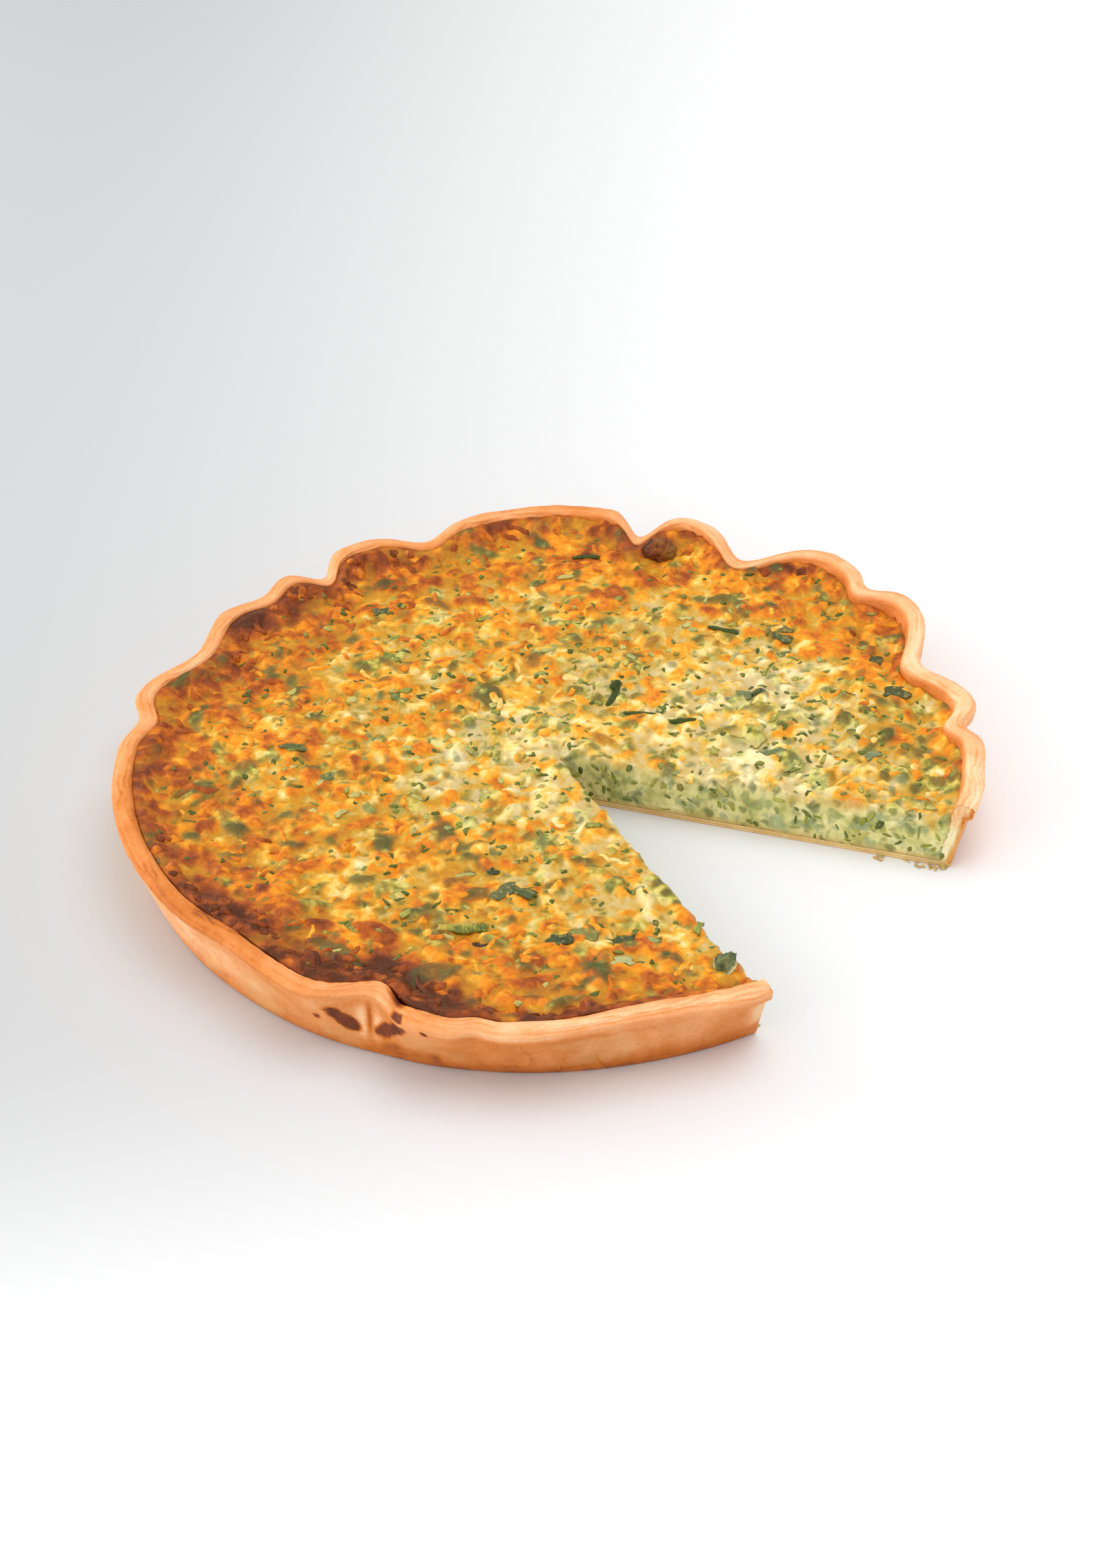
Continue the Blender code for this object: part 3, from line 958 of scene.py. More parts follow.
class FillingMap:
    """A square map of the filling's top: its relief, how toasted and how green each place is,
    how low between the mounds each place lies, for painted shade, and how glazed.

    Mounds are stamped on it: each is a long dome with its own size, turn and height, and where
    they overlap the highest shows.
    """

    def __init__(self, seed):
        self.random = np.random.default_rng(seed)
        self.side = int(round(2.0 * MAP_HALF / MAP_PITCH)) + 1
        axis = (np.arange(self.side) - (self.side - 1) / 2) * MAP_PITCH
        self.x, self.y = np.meshgrid(axis, axis, indexing="ij")
        self.azimuth = azimuth_of(self.x, self.y)
        wall = wall_at_top(self.azimuth)
        radius = np.hypot(self.x, self.y)
        self.edge = wall - radius
        self.share = radius / wall
        self.toast = self.toast_map()
        self.burnt = self.burnt_map()
        self.stamp_mounds()
        self.bake_mounds()

    def toast_map(self):
        """Toasting between the middle, half way out and the edge, with slow patches."""
        half_out = round_table(self.azimuth, TOASTED, 1)
        outside = round_table(self.azimuth, TOASTED, 2)
        level = np.where(
            self.share < 0.55,
            MIDDLE_TOAST + (half_out - MIDDLE_TOAST) * ease(self.share / 0.55),
            half_out + (outside - half_out) * ease((self.share - 0.55) / 0.38),
        )
        patches = flat_layers(self.x, self.y, 0.022, 201, 3) - 0.5
        return level + 0.34 * patches

    def burnt_map(self):
        """The burnt band along the wall: full at the edge, with a ragged inner border."""
        level = round_table(self.azimuth, BURNT, 1)
        width = round_table(self.azimuth, BURNT, 2)
        ragged = flat_layers(self.x, self.y, 0.012, 211, 4) - 0.5
        inward = self.edge / MM + 15.0 * ragged
        return level * ease((width * 1.15 - inward) / (0.60 * width))

    def stamp_mounds(self):
        """Mounds of four sizes: one less the squares of the shares along and across, times a
        height. Each place keeps the largest key over it. A key is a mound's height there, in
        ten-thousandths of a millimetre, times the number of mounds, plus its own number."""
        draw = self.random
        total = sum(kind[0] for kind in MOUNDS)
        best = np.zeros(self.side * self.side, dtype=np.int64)
        self.mound_x = np.empty(total)
        self.mound_y = np.empty(total)
        start = 0
        for count, half_long, half_wide, tall, window in MOUNDS:
            numbers = np.arange(start, start + count)
            cx = draw.uniform(-MAP_HALF, MAP_HALF, count)
            cy = draw.uniform(-MAP_HALF, MAP_HALF, count)
            long = half_long * MM * draw.uniform(0.6, 1.35, count)
            wide = half_wide * MM * draw.uniform(0.6, 1.4, count)
            high = tall * draw.uniform(0.4, 1.2, count)
            turn = draw.uniform(0.0, math.pi, count)
            bend = draw.uniform(-0.5, 0.5, count)
            step = np.arange(-window, window + 1)
            di, dj = [part.ravel() for part in np.meshgrid(step, step, indexing="ij")]
            i = np.round(cx / MAP_PITCH).astype(int)[:, None] + self.side // 2 + di
            j = np.round(cy / MAP_PITCH).astype(int)[:, None] + self.side // 2 + dj
            ox = (i - self.side // 2) * MAP_PITCH - cx[:, None]
            oy = (j - self.side // 2) * MAP_PITCH - cy[:, None]
            u, v = turned(ox, oy, -turn[:, None])
            u = u / long[:, None]
            v = v / wide[:, None] + bend[:, None] * u * u
            dome = np.clip(1.0 - u * u - v * v, 0.0, 1.0) ** 0.7
            height = high[:, None] * dome
            inside = (dome > 0.0) & (i >= 0) & (i < self.side) & (j >= 0) & (j < self.side)
            key = (height * KEY_STEPS).astype(np.int64) * total + numbers[:, None]
            np.maximum.at(best, (i * self.side + j)[inside], key[inside])
            self.mound_x[numbers] = cx
            self.mound_y[numbers] = cy
            start += count
        best = best.reshape(self.side, self.side)
        self.mound = best % total
        self.covered = best > 0
        self.crown = (best // total) / KEY_STEPS
        slow = flat_layers(self.x, self.y, 0.014, 221, 2) - 0.5
        fine = flat_layers(self.x, self.y, 0.0030, 223, 2) - 0.5
        blisters = self.burnt * (flat_layers(self.x, self.y, 0.0085, 225, 2) - 0.40)
        bubbles = self.burnt * (flat_layers(self.x, self.y, 0.0030, 227, 2) - 0.5)
        relief = self.crown * 1.25 - 0.80 + 1.3 * slow + 0.30 * fine + 2.2 * blisters + 1.3 * bubbles
        self.relief = softened(relief, 1) * MM

    def bake_mounds(self):
        """Each mound takes one level of toasting: its zone's, plus its own chance, and more on
        its crown than round it. Some mounds are leek instead. Where the edge is burnt the
        level goes on past brown to nearly black."""
        draw = self.random
        count = len(self.mound_x)
        toast = self.read(self.toast, self.mound_x, self.mound_y)
        burnt = self.read(self.burnt, self.mound_x, self.mound_y)
        own = toast + draw.normal(0.0, 0.21, count) * (1.0 - 0.3 * burnt)
        is_leek = draw.random(count) < self.leek_share(toast) * (1.0 - burnt)
        leek_tone = is_leek * draw.uniform(0.45, 1.0, count)
        level = np.where(self.covered, own[self.mound], self.toast) + 0.20 * (self.crown - 0.5)
        level = level + 0.42 * (flat_layers(self.x, self.y, 0.0075, 231, 2) - 0.5)
        beyond = level - np.clip(level, self.toast - STIR, self.toast + STIR)
        level = level - 0.5 * beyond
        level = np.maximum(level, 0.12 + 0.4 * level)
        patchy = 0.82 + 0.9 * (flat_layers(self.x, self.y, 0.0090, 235, 2) - 0.5)
        patchy = patchy + 0.8 * (flat_layers(self.x, self.y, 0.0036, 237, 2) - 0.5)
        level = level + 0.56 * self.burnt * patchy
        self.level = softened(level, 7)
        self.green = softened(leek_tone[self.mound] * self.covered, 7)
        # Where the top lies low between the mounds: painted shade in the custard's colour.
        self.hollow = softened(ease((0.42 - self.crown) / 0.42), 3)
        self.glaze = ease((level - 0.85) / 0.3)

    def leek_share(self, toast):
        """How many of the mounds are leek: fewer where it is toasted, more by the wall beside
        the back cut, and a few more towards the front."""
        azimuth = azimuth_of(self.mound_x, self.mound_y)
        near_wall = ease((self.read(self.share, self.mound_x, self.mound_y) - 0.76) / 0.14)
        by_cut = ease((np.cos(np.radians(azimuth - LEEKY_EDGE)) - 0.86) / 0.10)
        front = ease((np.cos(np.radians(azimuth - LEEKY_FRONT)) - 0.70) / 0.25)
        return np.clip(0.60 - 0.60 * toast, 0.20, 0.5) + 0.38 * near_wall * by_cut + 0.09 * front

    def read(self, field, x, y):
        """The map's value at any place, mixed from the four points round it."""
        px = np.clip(np.asarray(x) / MAP_PITCH + self.side // 2, 0, self.side - 1.001)
        py = np.clip(np.asarray(y) / MAP_PITCH + self.side // 2, 0, self.side - 1.001)
        ix = px.astype(int)
        iy = py.astype(int)
        sx = px - ix
        sy = py - iy
        low = field[ix, iy] * (1.0 - sx) + field[ix + 1, iy] * sx
        high = field[ix, iy + 1] * (1.0 - sx) + field[ix + 1, iy + 1] * sx
        return low * (1.0 - sy) + high * sy

    def top(self, x, y):
        """Height of the finished top: its slow form, its mounds, how it climbs or shrinks from
        the wall, and its roll down to the cuts. At the wall it stays just under the rim."""
        azimuth = azimuth_of(x, y)
        height = filling_top(x, y) + self.read(self.relief, x, y)
        edge = (wall_at_top(azimuth) - np.hypot(x, y)) / MM
        climb = round_table(azimuth, CLIMB, 1)
        width = round_table(azimuth, CLIMB, 2)
        height = height + climb * MM * ease((width - edge) / width)
        height = height - 0.2 * MM * ease((0.9 - edge) / 0.9)
        brim = RIM_HEIGHT - rim_drop(azimuth) - BRIM + 0.0012 * ease((edge - 0.8) / 4.0)
        over = height - brim
        height = np.where(over > -MM, brim - MM * np.exp(-(over + MM) / MM), height)
        return height - cut_roll(x, y)


def cut_distance(x, y):
    """How far a point is from the nearer cut, in mm: out along the cut's own normal, and from
    the tip where it is behind it."""
    dx = (x - SLICE_TIP[0]) / MM
    dy = np.abs(y - SLICE_TIP[1]) / MM
    along, away = turned(dx, dy, -math.radians(HALF_SLICE))
    return np.where(along > 0.0, away, np.hypot(dx, dy))


def cut_roll(x, y):
    """How far the top is rounded down near a cut: a quarter circle whose size wanders."""
    size = 1.6 + 1.6 * flat_layers(x, y, 0.009, 241, 2)
    inside = np.clip(1.0 - cut_distance(x, y) / size, 0.0, 1.0)
    return size * (1.0 - np.sqrt(1.0 - inside * inside)) * MM * 0.9


def edge_push(place):
    """How far the top's points near a cut are drawn back from it, so that its edge is torn:
    most at the cut, and nothing some way from it, at the tip and at the wall."""
    out = place - SLICE_TIP
    along = np.hypot(*out.T)
    side = np.where(out[:, 1] < 0.0, -1.0, 1.0)
    torn = np.clip(flat_layers(along, 0.04 * side, 0.0062, 245, 3) * 2.2 - 0.45, 0.0, 1.0)
    away = cut_distance(*place.T)
    push = TEAR * MM * torn * ease((TEAR_WIDTH - away) / TEAR_WIDTH) ** 1.5
    push = push * ease((along - 0.004) / 0.010) * ease((0.124 - along) / 0.006)
    back = across_of(HALF_SLICE)
    return push[:, None] * np.column_stack((np.full(len(place), back[0]), side * back[1]))


def top_rings():
    """The places and faces of the top's rings about the slice's tip, with half as many columns
    each time that a ring's radius halves, each ring's first point and step, and the bearings."""
    spread = np.linspace(-1.0, 1.0, TOP_COLUMNS + 1)
    spread = spread * (1.0 + 0.10 * (1.0 - spread * spread))
    bearing = 180.0 + (180.0 - HALF_SLICE) * spread
    rim, _ = reach(bearing, wall_at_top)
    ring_share = np.linspace(0.0, 1.0, TOP_RINGS + 1)
    ring_step = np.select([ring_share > 0.5, ring_share > 0.25, ring_share > 0.125], [1, 2, 4], 8)
    starts = np.concatenate(([0], np.cumsum(TOP_COLUMNS // ring_step + 1)[:-1]))
    flat = np.concatenate([SLICE_TIP + (rim[::step] - SLICE_TIP) * share
                           for share, step in zip(ring_share, ring_step)])
    faces = []
    for ring in range(TOP_RINGS):
        near, far = ring_step[ring], ring_step[ring + 1]
        column = np.arange(TOP_COLUMNS // near)
        a = starts[ring] + column
        if near == far:
            b = starts[ring + 1] + column
            faces.append(np.stack((a, b, b + 1, a + 1), -1))
        else:
            b = starts[ring + 1] + 2 * column
            faces.append(np.stack((a, b, b + 1), -1))
            faces.append(np.stack((a, b + 1, a + 1), -1))
            faces.append(np.stack((a + 1, b + 1, b + 2), -1))
    return flat, faces, starts, ring_step, bearing


def cut_face(line, drop, bearing, side):
    """A cut face, and how much each of its points shows the inside: a grid from the top's edge
    straight down to the base, back to the cut's own plane under its torn edge, and drawn in at
    its outer end as the wall leans in."""
    level = line[None, :, 2] + (BASE - line[None, :, 2]) * drop
    ray = ray_of(bearing)
    normal = np.append(across_of(bearing) * side, 0.0)
    along = np.hypot(*(line[:, :2] - SLICE_TIP).T)[None, :]
    at_end = azimuth_of(line[-1, 0], line[-1, 1])
    lean = wall_radius(at_end, line[None, :, 2]) - wall_radius(at_end, level)
    lean = lean * ease((along / along.max() - 0.80) / 0.20)
    face = np.stack((line[:, 0] - ray[0] * lean, line[:, 1] - ray[1] * lean, level), -1)
    drawn_in = (line[:, :2] - SLICE_TIP) @ normal[:2]
    face = face - normal * (drawn_in * ease(drop / 0.5))[..., None]
    keep = ease(drop / 0.12) * (1.0 - ease((drop - 0.9) / 0.1))
    keep = keep * ease(along / 0.004) * ease((along.max() - along) / 0.002)
    face = face + normal * (cut_relief(along, level, side) * keep)[..., None]
    depth = (line[None, :, 2] - level) / MM
    depth = depth + 4.0 * (layered_grain(along + 0.0 * level, level, 0.0 * level, 0.006, 307, 2) - 0.5)
    return face, 0.35 + 0.65 * ease(depth / 3.4)


def outer_side(outer, drop):
    """The side under the top's outer edge: straight down to the base, in as the wall leans in
    and a little more."""
    level = outer[None, :, 2] + (BASE - outer[None, :, 2]) * drop
    azimuth = azimuth_of(outer[:, 0], outer[:, 1])
    wall = wall_radius(azimuth, outer[:, 2]) - wall_radius(azimuth, level)
    shrink = 1.0 - (wall + 0.0008 * drop) / np.hypot(outer[:, 0], outer[:, 1])
    return np.stack((outer[:, 0] * shrink, outer[:, 1] * shrink, level), -1)


def filling_piece(top_map, finish):
    """The filling: its top, then its two cut faces, its side and its underside.

    The side has one column for every few of the top, so its first row is made of faces with
    seven corners.
    """
    flat, faces, starts, ring_step, bearing = top_rings()
    flat = flat + edge_push(flat)
    top = np.column_stack((flat, top_map.top(flat[:, 0], flat[:, 1])))
    points = [top]
    inside = [0.35 * ease((2.4 - cut_distance(flat[:, 0], flat[:, 1])) / 2.4)]

    first = len(top)
    drop = np.linspace(0.0, 1.0, CUT_ROWS)[:, None] ** 0.92
    lower_edges = []
    end_columns = []
    for end, side in ((0, -1.0), (-1, 1.0)):
        line = top[starts if end == 0 else starts + TOP_COLUMNS // ring_step]
        face, within = cut_face(line, drop, bearing[end], side)
        points.append(face.reshape(-1, 3))
        faces.append(quads(CUT_ROWS, len(line), first, flip=side < 0))
        inside.append(within.ravel())
        lower_edges.append(first + (CUT_ROWS - 1) * len(line) + np.arange(len(line)))
        end_columns.append(face[:, -1])
        first += CUT_ROWS * len(line)

    ring = starts[-1] + np.arange(TOP_COLUMNS + 1)
    side_rows = outer_side(top[ring[::SIDE_STEP]], drop)
    side_rows[:, 0], side_rows[:, -1] = end_columns
    count = side_rows.shape[1]
    points.append(side_rows[1:].reshape(-1, 3))
    inside.append(np.zeros((CUT_ROWS - 1) * count))
    corner = np.arange(count - 1)
    first_row = [ring[corner * SIDE_STEP + step] for step in range(SIDE_STEP, -1, -1)]
    faces.append(np.stack(first_row + [first + corner, first + corner + 1], -1))
    faces.append(quads(CUT_ROWS - 1, count, first, flip=True))
    lowest = first + (CUT_ROWS - 2) * count + np.arange(count)
    loop = np.concatenate((lower_edges[0][:-1], lowest, lower_edges[1][::-1][1:-1]))
    faces.append(loop[::-1][None, :])

    points = np.concatenate(points)
    inside = np.concatenate(inside)
    toast, green, hollow, glaze = [
        top_map.read(field, points[:, 0], points[:, 1])
        for field in (top_map.level, top_map.green, top_map.hollow, top_map.glaze)]
    mesh = mesh_of("custard_filling", points, faces)
    write_levels(mesh, toast=toast, green=green, hollow=hollow * (1.0 - inside),
                 glaze=glaze * (1.0 - inside), inside=inside)
    welded(mesh)
    place_piece("custard_filling", mesh, finish, "filling")


def cut_relief(along, level, side):
    """How far a cut face stands out at a distance from the tip and a height: lumps less pits."""
    seed = 301 if side < 0 else 305
    along = along + 0.0 * level
    flat = 0.0 * level
    lumps = layered_grain(along, level, flat, 0.0075, seed, 3) - 0.5
    pits = ease((grain(along, level, flat, 0.0034, seed + 10) - 0.62) / 0.2)
    return (1.7 * lumps - 0.55 * pits + 0.10) * MM


# ---------------------------------------------------------------- herbs, leek and shreds

CUT_STOPS = ((0.30, "B4AE62"), (0.42, "CCC47C"), (0.52, "DAD28C"), (0.62, "E6DA98"), (0.74, "F0E4A8"))
FLECK_STOPS = ((0.00, "38461C"), (0.30, "4C5A20"), (0.55, "65702A"), (0.75, "5C7048"), (1.00, "848638"))
HERB_STOPS = ((0.00, "4C5828"), (0.35, "5C6830"), (0.60, "6E7838"), (0.80, "80823C"), (1.00, "8A7C3E"))
GREEN_STOPS = ((0.00, "7A8430"), (0.30, "96983A"), (0.55, "B0A850"), (0.80, "CCC072"), (1.00, "8E9858"))

CRUMB_TINTS = ((0.00, "8A8A34"), (0.40, "B4AA5A"), (0.60, "D9B878"), (1.00, "D89A50"))
KNOT_TINTS = ((0.00, "7C7834"), (0.30, "845A22"), (0.60, "7C4018"), (1.00, "42200F"))
STRIP_TINTS = ((0.00, "CCA44C"), (0.35, "A89840"), (0.65, "807E30"), (1.00, "545E26"))
CURL_TINTS = ((0.00, "3C4630"), (0.45, "545E40"), (0.75, "6C7046"), (1.00, "8A8646"))

SCATTER_HALF = 0.135            # half the side of the square that loose things fall in
KNOT_HALF = (6.2, 5.0, 4.3)     # mm, its half lengths
KNOT_TURN = 202.2               # degrees from +X to its length
KNOT_LIFT = 0.0004              # how far it stands over its node's middle
STRIP_PLACE = (0.0400, -0.0838)
STRIP_TURN = 41.0
CURL_TILT = 40.0                # degrees that its cut side stands up by
CURL_SINK = 0.4                 # mm under its node's middle

# Chives: x and y in mm, half length, half width, turn in degrees
CHIVES = (
    (10.4, 33.6, 5.6, 1.15, 35.0),
    (24.7, 38.5, 4.3, 1.05, 37.0),
    (-3.5, 36.7, 6.6, 1.20, 115.0),
    (1.9, 87.8, 5.6, 1.05, 15.0),
    (-64.9, 93.3, 5.0, 1.00, 45.0),
    (-6.4, 40.6, 2.6, 1.15, 96.0),
)

# Larger leaves: x and y in mm, half length, half width, turn in degrees, colour
LEAVES = (
    (52.5, 106.2, 3.2, 2.8, 20.0, "43481E"),
    (69.6, 95.1, 4.3, 2.9, 40.0, "454C24"),
    (20.7, 97.0, 4.0, 1.9, 18.0, "3F4A1E"),
    (16.0, 101.6, 3.6, 2.6, 50.0, "74642A"),
    (25.6, 90.7, 2.6, 1.6, 70.0, "66703A"),
    (30.8, 63.7, 3.0, 2.2, 30.0, "667448"),
    (34.0, 66.2, 2.2, 1.3, 60.0, "38461E"),
    (-99.5, 23.7, 3.0, 1.9, 60.0, "4E5430"),
    (-80.0, 6.6, 3.4, 2.2, 30.0, "747F2E"),
    (-58.5, -9.2, 3.2, 2.0, 15.0, "5E6C30"),
    (-64.7, -52.4, 4.0, 1.8, 35.0, "545C2A"),
    (-46.2, -55.4, 3.0, 1.9, 70.0, "646E38"),
    (38.5, -64.0, 4.6, 2.8, 80.0, "5A5E34"),
    (43.5, -60.8, 3.8, 2.0, 20.0, "4C5428"),
    (65.7, -68.7, 3.6, 2.6, 40.0, "3E4626"),
    (70.5, -62.8, 4.2, 3.0, 10.0, "7E7A38"),
    (80.1, -57.5, 4.2, 1.9, 50.0, "3F4A20"),
    (28.0, -57.5, 2.2, 1.7, 90.0, "333E14"),
    (87.5, -65.7, 3.6, 2.2, 35.0, "B4B47C"),
    (-20.5, 14.0, 3.4, 1.4, 35.0, "84904A"),
    (-31.0, 30.0, 2.6, 1.4, 70.0, "949A52"),
    (58.0, 44.0, 3.6, 1.7, 55.0, "66754A"),
    (84.0, 62.0, 3.2, 1.6, 75.0, "6E7A52"),
    (49.8, -85.3, 3.9, 1.3, 18.0, "45260F"),
)


def rings_of(radius, angle):
    """The two places across the axis of rings of points, as columns: radius cos, radius sin."""
    return (radius[:, None] * np.cos(angle)).ravel(), (radius[:, None] * np.sin(angle)).ravel()


def mound_form(sides, rings):
    """A closed lens of half lengths 1: rings about its top and bottom, at the root of one less
    the ring's radius squared."""
    radius = np.linspace(0.0, 1.0, rings + 1)[1:]
    height = np.sqrt(np.clip(1.0 - radius * radius, 0.0, 1.0))
    radius = np.concatenate((radius, radius[-2::-1]))
    height = np.concatenate((height, -height[-2::-1]))
    x, y = rings_of(radius, np.arange(sides) * math.tau / sides)
    ring = np.stack((x, y, np.repeat(height, sides)), -1)
    points = np.vstack((ring, (0.0, 0.0, 1.0), (0.0, 0.0, -1.0)))
    return points, tube_faces(len(radius), sides, inward=True)


def rod_form(rings, sides):
    """A closed rod along X from -1 to 1 with rounded ends: its radius is the fourth root of one
    less the sixth power of the place along it."""
    along = np.sin(np.linspace(-0.5 * math.pi, 0.5 * math.pi, rings + 2))[1:-1]
    radius = (1.0 - np.abs(along) ** 6) ** 0.25 * (1.0 - 0.15 * along * along)
    radius[[0, -1]] *= 0.75
    y, z = rings_of(radius, np.arange(sides) * math.tau / sides)
    ring = np.stack((np.repeat(along, sides), y, z), -1)
    points = np.vstack((ring, (-1.0, 0.0, 0.0), (1.0, 0.0, 0.0)))
    return points, tube_faces(rings, sides)


def leaf_form(rows, columns):
    """A closed thin leaf: a square of points for its top and one for its underside that meet
    round the edge, as high as one less the fourth power of the way out."""
    s, t = [part.ravel() for part in unit_square(rows, columns)]
    thick = 1.0 - np.maximum(np.abs(s), np.abs(t)) ** 4
    x = s * np.sqrt(1.0 - 0.32 * t * t)
    y = t * np.sqrt(1.0 - 0.32 * s * s)
    points = np.vstack((np.stack((x, y, thick), -1), np.stack((x, y, -thick), -1)))
    return points, two_sheets(rows, columns)


def repeated(form, count):
    """The faces of a form, repeated for a number of copies of its points."""
    points, faces = form
    step = (np.arange(count) * len(points))[:, None, None]
    return [(part[None] + step).reshape(-1, part.shape[1]) for part in faces]


class Toppings:
    """Loose things on the filling: many copies of a form, each with its own size, turn, outline
    and tint, laid on the top so that every point follows the surface under it."""

    def __init__(self, top_map, seed):
        self.map = top_map
        self.random = np.random.default_rng(seed)

    def toast(self, x, y):
        """How toasted the filling is at a place."""
        return self.map.read(self.map.toast, x, y)

    def burnt(self, x, y):
        """How burnt the filling is at a place."""
        return self.map.read(self.map.burnt, x, y)

    def sizes(self, count, *limits):
        """Sizes of the copies in metres, a column for each pair of limits in mm: between the
        two, more of them small than large."""
        draw = self.random
        return np.stack([(low + (high - low) * draw.random(count) ** 1.8) * MM
                         for low, high in limits], -1)

    def spots(self, count, weight, margin):
        """Places on the filling, away from the wall and the cuts, kept by the chance that the
        weight gives each of them."""
        draw = self.random
        kept = np.empty((0, 2))
        while len(kept) < count:
            spot = draw.uniform(-SCATTER_HALF, SCATTER_HALF, (4 * count, 2))
            x, y = spot.T
            wall = wall_radius(azimuth_of(x, y), FILLING_HEIGHT)
            inside = wall - np.hypot(x, y) > margin * MM
            toward = np.degrees(np.arctan2(y - SLICE_TIP[1], x - SLICE_TIP[0]))
            inside &= (np.abs(toward) > HALF_SLICE) & (cut_distance(x, y) > 0.8)
            inside &= draw.random(len(x)) < weight(x, y)
            kept = np.vstack((kept, spot[inside]))
        return kept[:count]

    def laid(self, form, spots, sizes, turns, lift, uneven, bend, follow):
        """Points of the copies: scaled, their outlines waved, bent, turned, and set on the
        surface: each point follows the ground under it by a share, and the ground under the
        copy's middle by the rest. The second array is the plain place of each point."""
        draw = self.random
        unit = form[0]
        phase = draw.uniform(0.0, math.tau, (3, len(spots), 1))
        angle = np.arctan2(unit[:, 1], unit[:, 0])[None]
        waves = 0.6 * np.sin(2.0 * angle + phase[0]) + 0.5 * np.sin(3.0 * angle + phase[1])
        outline = 1.0 + uneven * (waves + 0.4 * np.sin(5.0 * angle + phase[2]))
        px = unit[None, :, 0] * outline * sizes[:, 0, None]
        py = unit[None, :, 1] * outline * sizes[:, 1, None]
        bow = bend * draw.uniform(-1.0, 1.0, (len(spots), 1))
        py = py + bow * unit[None, :, 0] ** 2 * sizes[:, 0, None]
        x, y = turned(px, py, turns[:, None])
        x = spots[:, 0, None] + x
        y = spots[:, 1, None] + y
        middle = self.map.top(spots[:, 0], spots[:, 1])[:, None]
        ground = follow * self.map.top(x, y) + (1.0 - follow) * middle
        z = ground + unit[None, :, 2] * sizes[:, 2, None] + np.asarray(lift).reshape(-1, 1)
        return np.stack((x, y, z), -1), np.stack((px, py), -1)

    def scattered(self, form, count, weight, margin, limits, lift, uneven, bend, follow):
        """Copies in places of their own, turned any way: the places, the points and the plain
        place of each point. The lift is one height in mm, or two that each copy's own is
        between."""
        spots = self.spots(count, weight, margin)
        sizes = self.sizes(count, *limits)
        turns = self.random.uniform(0.0, math.pi, count)
        if np.ndim(lift):
            lift = self.random.uniform(*lift, count)
        return spots, *self.laid(form, spots, sizes, turns, lift * MM, uneven, bend, follow)

    def piece(self, name, form, points, finish, slot, layout=None, **levels):
        """The copies as one mesh, with the named levels or colours of each copy."""
        mesh = mesh_of(name, points.reshape(-1, 3), repeated(form, len(points)))
        write_levels(mesh, **{key: np.repeat(value, len(form[0]), axis=0)
                              for key, value in levels.items()})
        if layout is not None:
            write_layout(mesh, *layout.reshape(-1, 2).T)
        welded(mesh, 1e-7)
        place_piece(name, mesh, finish, "filling")


def add_herbs(toppings, finish):
    """Chopped herb flecks, most of them dark, fewer and browner where the top is burnt, and
    half sunk in it."""
    draw = toppings.random
    count = 640

    def weight(x, y):
        clump = ease((flat_layers(x, y, 0.012, 401, 2) - 0.32) / 0.4)
        fewer = (1.0 - 0.85 * toppings.burnt(x, y)) * (1.15 - 0.9 * toppings.toast(x, y))
        return fewer * (0.2 + 0.8 * clump)

    form = mound_form(9, 2)
    limits = ((0.80, 2.30), (0.60, 1.25), (0.20, 0.34))
    spots, points, _ = toppings.scattered(
        form, count, weight, 2.0, limits, (-0.16, 0.04), 0.34, 0.3, 0.45)
    tone = draw.random(count) ** 1.3 + 0.35 * toppings.burnt(*spots.T)
    tints = shade_between(tone, HERB_STOPS) * draw.uniform(0.75, 1.25, (count, 1))
    toppings.piece("herb_flecks", form, points, finish, "dark_leek", tint=tints)


def add_leek(toppings, finish):
    """Chopped leek: small soft squares and strips in pale and yellow greens, mostly sunk."""
    count = 300

    def weight(x, y):
        toast = np.clip(1.15 - 1.5 * toppings.toast(x, y), 0.05, 1.0)
        return (1.0 - 0.95 * toppings.burnt(x, y)) * toast

    form = leaf_form(6, 5)
    limits = ((1.2, 3.2), (0.8, 1.8), (0.20, 0.36))
    _, points, layout = toppings.scattered(
        form, count, weight, 4.0, limits, (-0.25, 0.0), 0.26, 0.25, 0.5)
    tints = shade_between(toppings.random.random(count), GREEN_STOPS)
    toppings.piece("leek_pieces", form, points, finish, "green_leek", layout, tint=tints)


def add_leaves(toppings, finish):
    """The larger leaves, each in its place."""
    table = np.array([leaf[:5] for leaf in LEAVES])
    form = leaf_form(14, 11)
    sizes = np.column_stack((table[:, 2:4] * MM, np.full(len(table), 0.34 * MM)))
    points, layout = toppings.laid(
        form, table[:, :2] * MM, sizes, np.radians(table[:, 4]), 0.05 * MM, 0.24, 0.16, 0.55)
    curl = toppings.random.uniform(-0.6, 0.9, (len(table), 1))
    points[..., 2] += curl * MM * (form[0][None, :, 0] ** 2 * 0.7 - 0.1)
    tints = np.array([paint(leaf[5]) for leaf in LEAVES])
    toppings.piece("leek_leaves", form, points, finish, "green_leek", layout, tint=tints)


def add_chives(toppings, finish):
    """Short lengths of chive, flattened as they dried."""
    table = np.array(CHIVES)
    form = rod_form(14, 14)
    sizes = np.column_stack((table[:, 2:4] * MM, table[:, 3] * 0.55 * MM))
    points, layout = toppings.laid(
        form, table[:, :2] * MM, sizes, np.radians(table[:, 4]), 0.30 * MM, 0.05, 0.08, 0.5)
    tints = np.repeat(paint("36451A")[None], len(table), 0)
    toppings.piece("chives", form, points, finish, "dark_leek", layout, tint=tints)


